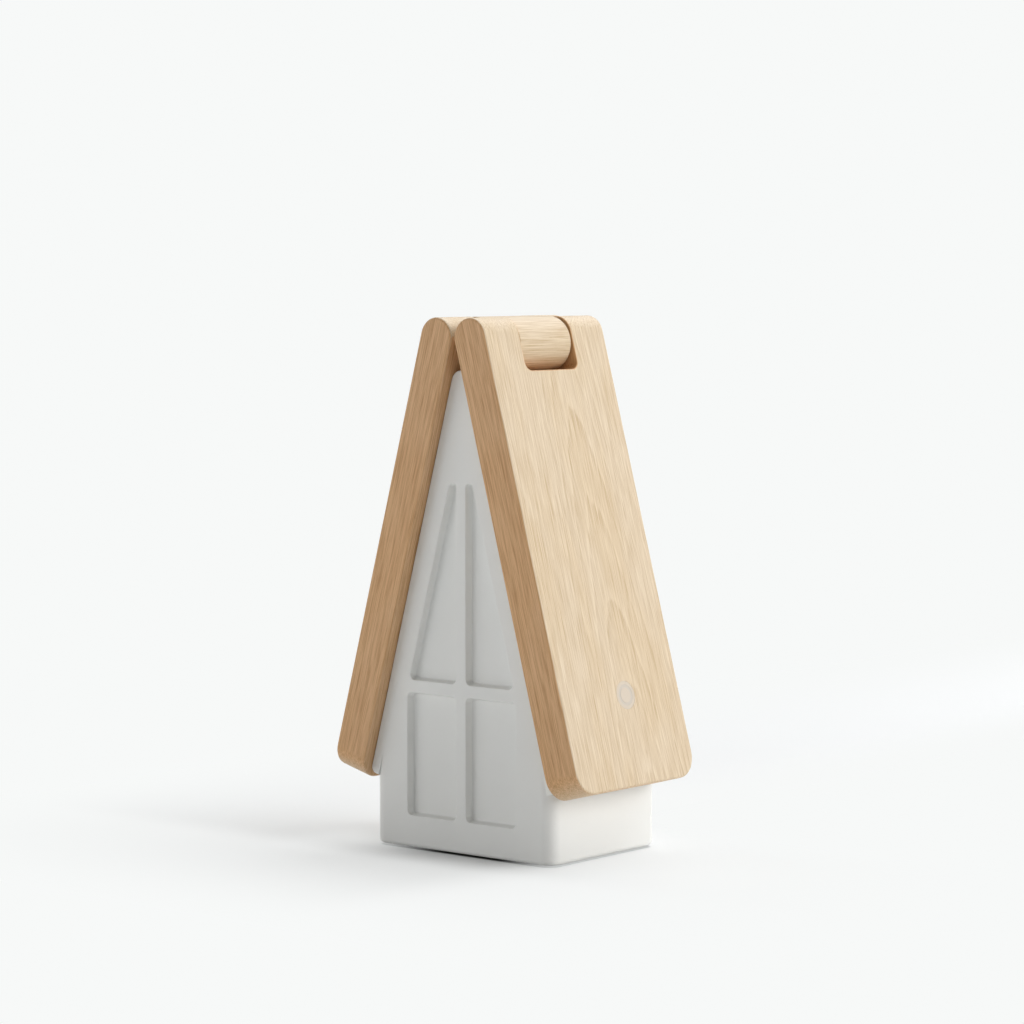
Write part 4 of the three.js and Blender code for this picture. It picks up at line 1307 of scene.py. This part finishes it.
# How the floor's shadow fades away from the house: where each fade starts and ends, and its share
FRONT_FADES = ((0, 28, 0.6), (20, 147, 0.4))
RIGHT_FADES = ((-30, 8, 0.7), (8, 160, 0.3))
LEFT_FADES = ((63, 242, 1),)
BACK_FADES = ((30, 70, 1),)
BACK_SIDE = (-80, 0)
# A round fade at the house's left: its middle, its reach and its share
LEFT_SPOT = (-54, -30, 43.5, 0.57)
CONTACT_BAND = (-1.8, 0.2)


def background_rays(tree):
    """1 for rays that see the background as it is drawn, 0 for those that only carry light."""
    camera, glossy, through = tree.node(
        "ShaderNodeLightPath", output=("Is Camera Ray", "Is Glossy Ray", "Is Transmission Ray"))
    return tree.larger(tree.larger(camera, glossy), through)


def floor_finish(colours, half_width, round_corner, front, back):
    """A pale floor that keeps the lamp's shadow, fades into the backdrop away from it, and is dark
    right under the house."""
    material, tree = new_finish("studio_floor")
    _, (x, y, _) = object_place(tree)

    def shadow(distance, fades):
        """What is left of the shadow at a distance, which the fades take away share by share."""
        left = 1
        for start, end, share in fades:
            left = left - tree.ramp(distance, start, end) * share
        return left

    kept = (shadow(front - y, FRONT_FADES) * shadow(x - half_width, RIGHT_FADES)
            * shadow(-x, LEFT_FADES))
    kept = kept * (1 - (1 - shadow(y, BACK_FADES)) * tree.ramp(x, *BACK_SIDE))
    spot_x, spot_y, reach, share = LEFT_SPOT
    away = ((x - spot_x) ** 2 + (y - spot_y) ** 2) ** 0.5
    kept = kept * (1 - share * (1 - tree.ramp(away, 0, reach)))
    aside = tree.larger(abs(x) - (half_width - round_corner), 0)
    ahead = tree.larger(abs(y - (front + back) / 2) - ((back - front) / 2 - round_corner), 0)
    outside = (aside * aside + ahead * ahead) ** 0.5 - round_corner
    shade = tree.mix(
        tree.ramp(outside, *CONTACT_BAND), opaque(colours.contact), opaque(colours.floor))
    near = tree.node("ShaderNodeBsdfPrincipled", values={
        "Base Color": shade, "Roughness": 0.7, "Specular IOR Level": 0.2})
    far = tree.node("ShaderNodeEmission", values={"Color": opaque(colours.backdrop)})
    both = tree.node("ShaderNodeMixShader", values={
        0: (1 - kept) * background_rays(tree), 1: near, 2: far})
    tree.node("ShaderNodeOutputMaterial", values={"Surface": both}, output=None)
    return material


def soft_light(name, where, width, height, power):
    """A rectangular soft light that faces the lamp."""
    lamp = bpy.data.lights.new(name, "AREA")
    lamp.shape = "RECTANGLE"
    lamp.size = width
    lamp.size_y = height
    lamp.energy = power
    thing = new_object(name, lamp)
    thing.location = where
    thing.rotation_euler = (LAMP_MIDDLE - Vector(where)).to_track_quat("-Z", "Y").to_euler()


class LAMP_OT_stage(Operator):
    """Set up the floor, the soft light, the backdrop and the camera"""

    bl_idname = "lamp.stage"
    bl_label = "Stage"

    def execute(self, context):
        scene = context.scene
        stage, colours = scene.lamp_stage, scene.lamp_colours
        mesh = bpy.data.meshes.new("floor")
        mesh.from_pydata([(x, y, -FLOOR_DROP) for x, y, _ in rectangle(
            2 * FLOOR_REACH, 2 * FLOOR_REACH)], [], [(0, 1, 2, 3)])
        roof, house, slopes = settings(context)
        paint(mesh, floor_finish(colours, *(value / MM for value in (
            roof.house_width / 2, house.corner_radius, slopes.front, slopes.back))))
        new_object("floor", mesh)
        soft_light("key_light", stage.key_place, stage.key_width, stage.key_height,
                   stage.key_power)
        soft_light("top_light", stage.top_place, stage.top_size, stage.top_size, stage.top_power)
        soft_light("fill_light", stage.fill_place, stage.fill_width, stage.fill_height,
                   stage.fill_power)
        world = bpy.data.worlds.new("studio")
        world.use_nodes = True
        world.node_tree.nodes.clear()
        tree = Tree(world.node_tree)
        light = tree.node("ShaderNodeBackground", values={
            "Color": (1, 1, 1, 1), "Strength": stage.sky_strength})
        seen = tree.node("ShaderNodeBackground", values={
            "Color": opaque(colours.backdrop), "Strength": 1})
        both = tree.node("ShaderNodeMixShader", values={
            0: background_rays(tree), 1: light, 2: seen})
        tree.node("ShaderNodeOutputWorld", values={"Surface": both}, output=None)
        scene.world = world
        camera = bpy.data.cameras.new("camera")
        camera.lens = stage.lens
        camera.sensor_width = SENSOR_WIDTH
        scene.camera = new_object("camera", camera)
        scene.camera.location = stage.camera_place
        scene.camera.rotation_euler = (math.pi / 2 - stage.camera_tilt, 0, stage.camera_turn)
        scene.view_settings.view_transform = "Standard"
        return {"FINISHED"}


OPERATORS = (
    LAMP_OT_stage,
    LAMP_OT_roof_boards,
    LAMP_OT_ridge_link,
    LAMP_OT_house,
    LAMP_OT_saddle,
    LAMP_OT_foot,
    LAMP_OT_light_panel,
    LAMP_OT_touch_switch,
    LAMP_OT_fittings,
)


class LAMP_PT_panel(Panel):
    """Lists the lamp's operators"""

    bl_idname = "LAMP_PT_panel"
    bl_label = "Folding Desk Lamp"
    bl_space_type = "VIEW_3D"
    bl_region_type = "UI"
    bl_category = "Lamp"

    def draw(self, context):
        for operator in OPERATORS:
            self.layout.operator(operator.bl_idname)


GROUPS = {
    "lamp_roof": RoofSizes,
    "lamp_house": HouseSizes,
    "lamp_hinge": HingeSizes,
    "lamp_panel": PanelSizes,
    "lamp_colours": LampColours,
    "lamp_stage": StageSettings,
}


CLASSES = (*GROUPS.values(), *OPERATORS, LAMP_PT_panel)


def register():
    """Registers the classes and gives every scene its property groups."""
    for item in CLASSES:
        bpy.utils.register_class(item)
    for name, group in GROUPS.items():
        setattr(bpy.types.Scene, name, PointerProperty(type=group))


def unregister():
    """Takes back what register did."""
    for name in GROUPS:
        delattr(bpy.types.Scene, name)
    for item in reversed(CLASSES):
        bpy.utils.unregister_class(item)


def main():
    """Builds the lamp and its stage."""
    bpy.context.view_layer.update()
    register()
    for operator in OPERATORS:
        group, name = operator.bl_idname.split(".")
        getattr(getattr(bpy.ops, group), name)()


if __name__ == "__main__":
    main()
